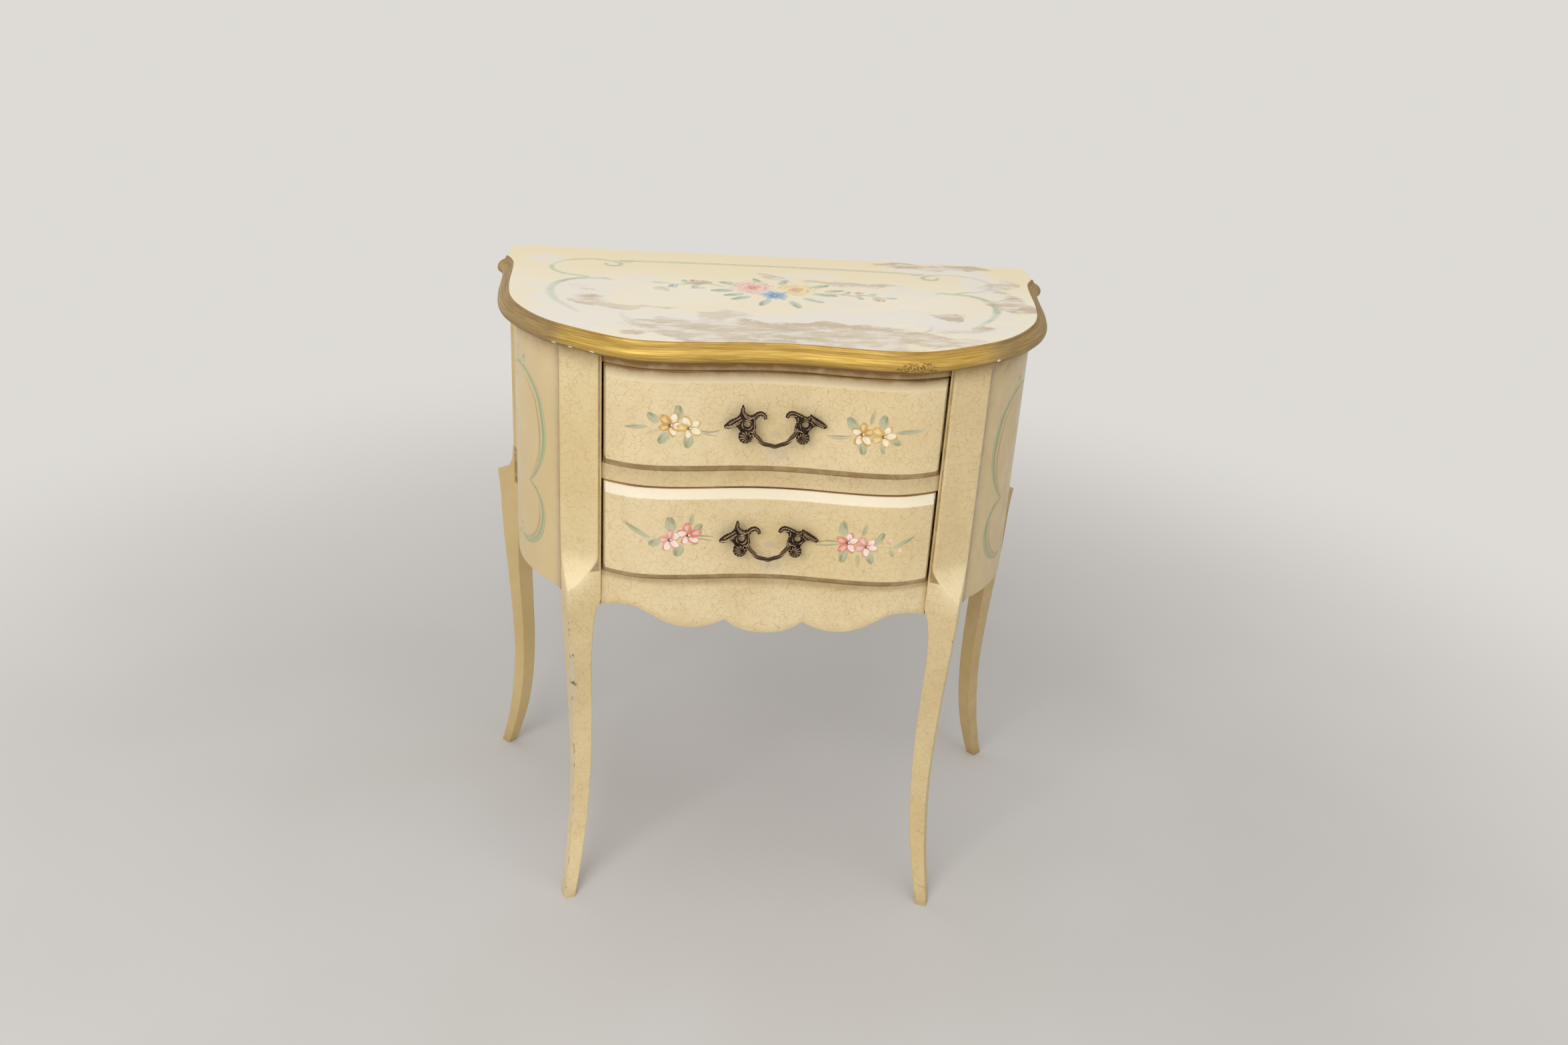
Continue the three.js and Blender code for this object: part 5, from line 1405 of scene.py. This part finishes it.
RIGHT_RIDGES = [[(1.19, 0.47), (1.37, 0.27), (1.55, 0.13), (1.7, 0.03)],
                [(1.22, 0.34), (1.4, 0.14), (1.62, -0.02)],
                [(1.2, 0.22), (1.31, 0.05), (1.45, 0.01)],
                [(1.17, 0.52), (1.12, 0.4), (1.03, 0.37), (0.95, 0.43)],
                [(0.88, 0.47), (0.74, 0.56), (0.58, 0.64), (0.45, 0.59), (0.38, 0.44)],
                [(0.68, 0.48), (0.56, 0.5), (0.46, 0.48)],
                [(0.74, 0.4), (0.75, 0.24), (0.68, 0.02), (0.68, -0.34)],
                [(0.67, -0.3), (0.82, -0.27), (1.0, -0.36)]]


def to_line(places, path):
    """How far each place lies from a line of points."""
    best = np.full(len(places), 1e9)
    for start, end in zip(path[:-1], path[1:]):
        side = end - start
        t = np.clip(((places - start) @ side) / max(side @ side, 1e-9), 0, 1)
        best = np.minimum(best, np.hypot(*(places - start - t[:, None] * side).T))
    return best


def within(places, outline):
    """Which places lie inside a closed outline."""
    inside = np.zeros(len(places), bool)
    for start, end in zip(outline, np.roll(outline, -1, axis=0)):
        crosses = (start[1] > places[:, 1]) != (end[1] > places[:, 1])
        rise = end[1] - start[1] if end[1] != start[1] else 1e-9
        inside ^= crosses & (places[:, 0] < start[0] + (places[:, 1] - start[1]) / rise * (end[0] - start[0]))
    return inside


def make_plate(shares, ridges, eye_share, plane, height):
    """A plate's points, faces and relief: a swelling front over a flat back."""
    scale = np.array([PULL_HALF, PULL_RISE])
    rows = np.array(shares) * scale
    outline = smooth(np.vstack([rows[-1:], rows, rows[:2]]), 6)[6:-7]
    run = lengths(outline)
    side = np.roll(outline, -1, axis=0) - np.roll(outline, 1, axis=0)
    outward = np.column_stack([side[:, 1], -side[:, 0]]) / np.maximum(np.hypot(*side.T), 1e-6)[:, None]
    ruffle = np.sin(2 * math.pi * run / 2.9 + 0.6 * np.sin(run / 3.1))
    outline = outline + outward * (0.24 * ruffle)[:, None]
    eye_at = np.array(eye_share) * scale
    around = np.linspace(0, 2 * math.pi, 40, endpoint=False)
    eye = eye_at + EYE_RADIUS * np.column_stack([np.cos(around), np.sin(around)])

    def rim_gap(places):
        return np.minimum(*(to_line(places, np.vstack([rim, rim[:1]])) for rim in (outline, eye)))

    def on_plate(places):
        return within(places, outline) & ~within(places, eye)

    (low_x, low_y), (high_x, high_y) = outline.min(0), outline.max(0)
    spread_x, spread_y = np.meshgrid(np.arange(low_x, high_x, NET), np.arange(low_y, high_y, NET))
    spread_x[::2] += NET / 2
    fill = np.column_stack([spread_x.ravel(), spread_y.ravel()])
    fill = fill[on_plate(fill) & (rim_gap(fill) > 0.28)]
    count, hole = len(outline), len(eye)
    borders = [(i, (i + 1) % count) for i in range(count)]
    borders += [(count + i, count + (i + 1) % hole) for i in range(hole)]
    net = delaunay_2d_cdt([Vector(p) for p in np.vstack([outline, eye, fill])], borders, [], 0, 1e-5)
    corners, triangles = np.array([tuple(p) for p in net[0]]), np.array(net[2])
    triangles = triangles[on_plate(corners[triangles].mean(axis=1))]
    from_rim, from_eye = rim_gap(corners), np.hypot(*(corners - eye_at).T)
    swell = np.sqrt(np.clip(1 - (1 - np.clip(from_rim / 2.0, 0, 1)) ** 2, 0, 1))
    turned = np.arctan2(*(corners - eye_at).T)
    relief = np.exp(-(((from_eye - 4.9) / 0.8) ** 2)) * (0.62 + 0.38 * np.sin(3 * turned + 0.8))
    nearest = np.hypot(*(corners[:, None] - outline[None]).transpose(2, 0, 1)).argmin(1)
    fluted = ruffle[nearest] * np.exp(-(((from_rim - 1.0) / 0.9) ** 2))
    for ridge in ridges:
        path = smooth(np.array(ridge) * scale, 6)
        relief = np.maximum(relief, np.exp(-((to_line(corners, path) / 0.75) ** 2)))
    beads = 0.16 * np.sin(corners[:, 0] * 3.1 + corners[:, 1]) * np.sin(corners[:, 1] * 2.7)
    tall = 1.1 + swell * (1.55 + 1.35 * relief + beads + 0.4 * fluted)
    relief = np.clip(relief + 0.35 * np.clip(fluted, -0.5, 1), 0, 1)
    flat = plane + PLATE_THICKNESS / 2
    back = np.column_stack([corners[:, 0], np.full(len(corners), flat), corners[:, 1] + height])
    front = back - np.column_stack([np.zeros_like(tall), tall, np.zeros_like(tall)])
    faces = triangles.tolist() + (triangles[:, ::-1] + len(corners)).tolist()
    sides = dict.fromkeys(edge for a, b, c in triangles.tolist() for edge in ((a, b), (b, c), (c, a)))
    faces += [[a, b, b + len(corners), a + len(corners)] for a, b in sides if (b, a) not in sides]
    raised = np.concatenate([np.clip(relief * swell, 0, 1), np.zeros(len(corners))])
    return np.vstack([front, back]), faces, raised


print("plate outlines have", len(LEFT_PLATE), "and", len(RIGHT_PLATE), "points")

# %% Shells and posts


def make_shell(centre, radius, hub_turn, plane, height):
    """A fluted shell: ribs fan out from a hub near its upper edge."""
    depth, ribs, rings, spokes = 5.0, 11, 14, 88
    angle = np.linspace(0, 2 * math.pi, spokes, endpoint=False)
    fan = 0.5 + 0.5 * np.cos(ribs * (angle - hub_turn))
    rim = radius * (0.93 + 0.09 * fan)[:, None] * np.column_stack([np.cos(angle), np.sin(angle)])
    hub = 0.5 * radius * np.array([math.cos(hub_turn), math.sin(hub_turn)])
    middle = np.array(centre) * (PULL_HALF, PULL_RISE)

    def ring(flat, y):
        flat = middle + flat
        return np.column_stack([flat[:, 0], np.zeros(spokes) + y, height + flat[:, 1]])

    points, relief = [ring(rim, plane + 1.6)], [np.zeros(spokes)]
    for s in np.linspace(1, 0.06, rings):
        crown = 0.28 + 0.66 * math.sqrt(1 - s**2.4)
        rise = depth * crown * (1 + 0.2 * (fan - 0.5) * math.sin(math.pi * s ** 0.7))
        points.append(ring(hub + (rim - hub) * s, plane - rise))
        relief.append(fan * math.sin(math.pi * min(s, 0.98)) ** 0.6)
    return (*lofted(points), np.concatenate(relief))


def make_post(side, plane, face, height):
    """A turned post with a small foot that bears on the drawer front."""
    profile = [(1.0, plane - 1.0), (2.7, plane - 0.2), (2.9, plane + 3.4), (3.1, face - 3.4),
               (3.6, face - 2.2), (4.0, face - 1.3), (4.0, face - 0.5), (3.7, face)]
    angle = np.linspace(0, 2 * math.pi, 28, endpoint=False)
    rings = [np.column_stack([side * PULL_HALF + r * np.cos(angle), np.full(28, y),
                              height - POST_DROP + r * np.sin(angle)]) for r, y in smooth(profile, 3)]
    places, faces = lofted(rings)
    return places, faces, np.full(len(places), 0.15)


def make_bail(plane, height):
    """The bail from its node tree, as points and faces, with its ribs as relief."""
    shares = [(-0.74, -0.26), (-0.64, -0.6), (-0.385, -0.9), (0, -0.96), (0.385, -0.84), (0.64, -0.5),
              (0.74, -0.14)]
    path = smooth(shares, 14)
    x, z = path[:, 0] * PULL_HALF, height + path[:, 1] * PULL_RISE
    y = plane - PULL_BOW * (1 - np.abs(path[:, 0] / shares[0][0]))
    wire = bpy.data.meshes.new("bail_path")
    line_points = np.column_stack([x, y, z])
    wire.from_pydata((line_points * MM).tolist(), [(i, i + 1) for i in range(len(path) - 1)], [])
    given = {"Section radius": 2.6 * MM, "Rib depth": 0.9 * MM, "Twist": 5.2, "Finish": dark_bronze}
    mesh = grown(BAIL, wire, given)
    places = np.array([v.co[:] for v in mesh.vertices]) / MM
    faces = [list(face.vertices) for face in mesh.polygons]
    out = np.min(np.linalg.norm(places[:, None] - line_points[None], axis=2), axis=1)
    return places, faces, np.clip((out - 1.5) / 1.0, 0, 1)


print("parts of a pull ready")

# %% Whole pulls


def make_pull(prefix):
    """One casting for a drawer, from its bail, plates, shells and posts."""
    (_, _, low), (_, face, _) = box_mm(f"{prefix}_pull")
    height, plane = low + 0.96 * PULL_RISE + BAIL_RADIUS, face - PULL_STANDOFF
    places, faces, relief = joined([
        make_bail(plane, height),
        make_plate(LEFT_PLATE, LEFT_RIDGES, (-0.96, -0.06), plane, height),
        make_plate(RIGHT_PLATE, RIGHT_RIDGES, (1.01, 0.04), plane, height),
        make_shell((-1.0, -0.66), 6.9, 0.5, plane, height),
        make_shell((0.95, -0.62), 6.5, 2.6, plane, height),
        make_post(-1, plane, face, height), make_post(1, plane, face, height)])
    made = make_piece(f"{prefix}_cast_pull", places, faces, [dark_bronze], None, {"relief": relief}, 55)
    stand_in(made, f"{prefix}_pull", f"{prefix}_drawer")


for prefix in ("upper", "lower"):
    make_pull(prefix)

# %% [markdown]
# ## Screws
# Six screws hold the top down from below, and two from inside each drawer hold its pull. They
# repeat, so the node tree above sets a screw on each point of a mesh that has nothing else.

# %% Screws by body


def make_screws(name, body, names, turned, head_radius, head_height):
    """Screws for one body in the place of its CAD screws, heads down or, if turned, to the back."""
    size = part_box(names[0])[1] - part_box(names[0])[0]
    points = []
    for screw in names:
        low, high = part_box(screw)
        centre = (low + high) / 2
        points.append((centre.x, centre.z, -high.y) if turned else (centre.x, centre.y, low.z))
    cloud = bpy.data.meshes.new(f"{name}_places")
    cloud.from_pydata(points, [], [])
    mesh = grown(SCREWS, cloud, {
        "Head radius": head_radius * MM, "Head height": head_height * MM, "Shank radius": 2.0 * MM,
        "Length": size.y if turned else size.z, "Finish": screw_steel})
    if turned:
        for vertex in mesh.vertices:
            x, y, z = vertex.co
            vertex.co = (x, -z, y)
    work = bmesh.new()
    work.from_mesh(mesh)
    bmesh.ops.recalc_face_normals(work, faces=work.faces)
    work.to_mesh(mesh)
    work.free()
    made = new_object(name, mesh)
    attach(made, body)
    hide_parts(*names)
    print(name, "has", len(mesh.polygons), "faces")


make_screws("case_top_screws", "case", [f"top_screw_{i}" for i in range(1, 7)], False, 4.0, 2.5)
for prefix in ("upper", "lower"):
    names = [f"{prefix}_pull_{hand}_screw" for hand in ("left", "right")]
    make_screws(f"{prefix}_pull_screws", f"{prefix}_drawer", names, True, 4.2, 2.6)

# %% [markdown]
# ## Floor, light and finish
# The chest stands on a large pale floor with nothing behind it. The light is soft and comes
# from above and in front, as in a plain studio, so that the bevels and the crackle still show
# without hard shadows.

# %% Floor and lights
BACKDROP = srgb(222, 219, 215)


def seen_directly(tree):
    """1 for rays from the camera, mirrors and glass, 0 for the light that rays gather."""
    kinds = ("Is Camera Ray", "Is Glossy Ray", "Is Transmission Ray")
    eye, mirror, glass = (value(tree, "ShaderNodeLightPath", None, kind) for kind in kinds)
    return step("MAXIMUM", eye, step("MAXIMUM", mirror, glass))


def make_floor():
    """A wide pale floor with faint mottling, which fades into an even backdrop."""
    mesh = bpy.data.meshes.new("studio_floor")
    reach = 30.0
    mesh.from_pydata([(-reach, -reach, 0), (reach, -reach, 0), (reach, reach, 0), (-reach, reach, 0)], [],
                     [[0, 1, 2, 3]])
    material, where = new_material("studio_floor")
    tree = material.node_tree
    colour = blend(between(noise(where, 2.2, 2.0), 0.35, 0.65), srgb(214, 211, 208), srgb(210, 207, 203))
    inputs = {"Base Color": colour, "Roughness": 0.9, "Specular IOR Level": 0.1}
    surface = value(tree, "ShaderNodeBsdfPrincipled", inputs)
    distance = value(tree, "ShaderNodeVectorMath", {0: where}, "Value", operation="LENGTH")
    far = between(distance, 0.55, 1.7) * seen_directly(tree)
    even = value(tree, "ShaderNodeEmission", {"Color": BACKDROP, "Strength": 1.0})
    mixed = value(tree, "ShaderNodeMixShader", {0: far, 1: surface, 2: even})
    add(tree, "ShaderNodeOutputMaterial", {"Surface": mixed})
    mesh.materials.append(material)
    new_object("studio_floor", mesh)


def soft_lamp(name, place, size, power):
    """A large square lamp that looks at the middle of the chest."""
    data = bpy.data.lights.new(name, "AREA")
    data.shape, data.size, data.energy = "SQUARE", size, power
    lamp = new_object(name, data)
    lamp.location = place
    lamp.rotation_euler = (Vector((0, 0, 0.4)) - Vector(place)).to_track_quat("-Z", "Y").to_euler()


def make_world():
    """A plain world: soft grey light, and the backdrop's colour where it is seen directly."""
    world = bpy.data.worlds.new("studio")
    world.use_nodes = True
    tree = world.node_tree
    tree.nodes.clear()
    soft = value(tree, "ShaderNodeBackground", {"Color": (1.0, 0.985, 0.965, 1.0), "Strength": 0.5})
    seen = value(tree, "ShaderNodeBackground", {"Color": BACKDROP, "Strength": 1.0})
    mixed = value(tree, "ShaderNodeMixShader", {0: seen_directly(tree), 1: soft, 2: seen})
    add(tree, "ShaderNodeOutputWorld", {"Surface": mixed})
    bpy.context.scene.world = world


make_floor()
make_world()
soft_lamp("key_lamp", (-1.2, -2.5, 2.0), 1.8, 41.5)
soft_lamp("fill_lamp", (2.2, -2.0, 1.3), 2.0, 10.5)
soft_lamp("top_lamp", (0.0, -0.9, 3.0), 1.6, 12)
soft_lamp("rear_lamp", (-2.6, 2.2, 1.0), 2.2, 14)
bpy.context.scene.view_settings.view_transform = "Standard"
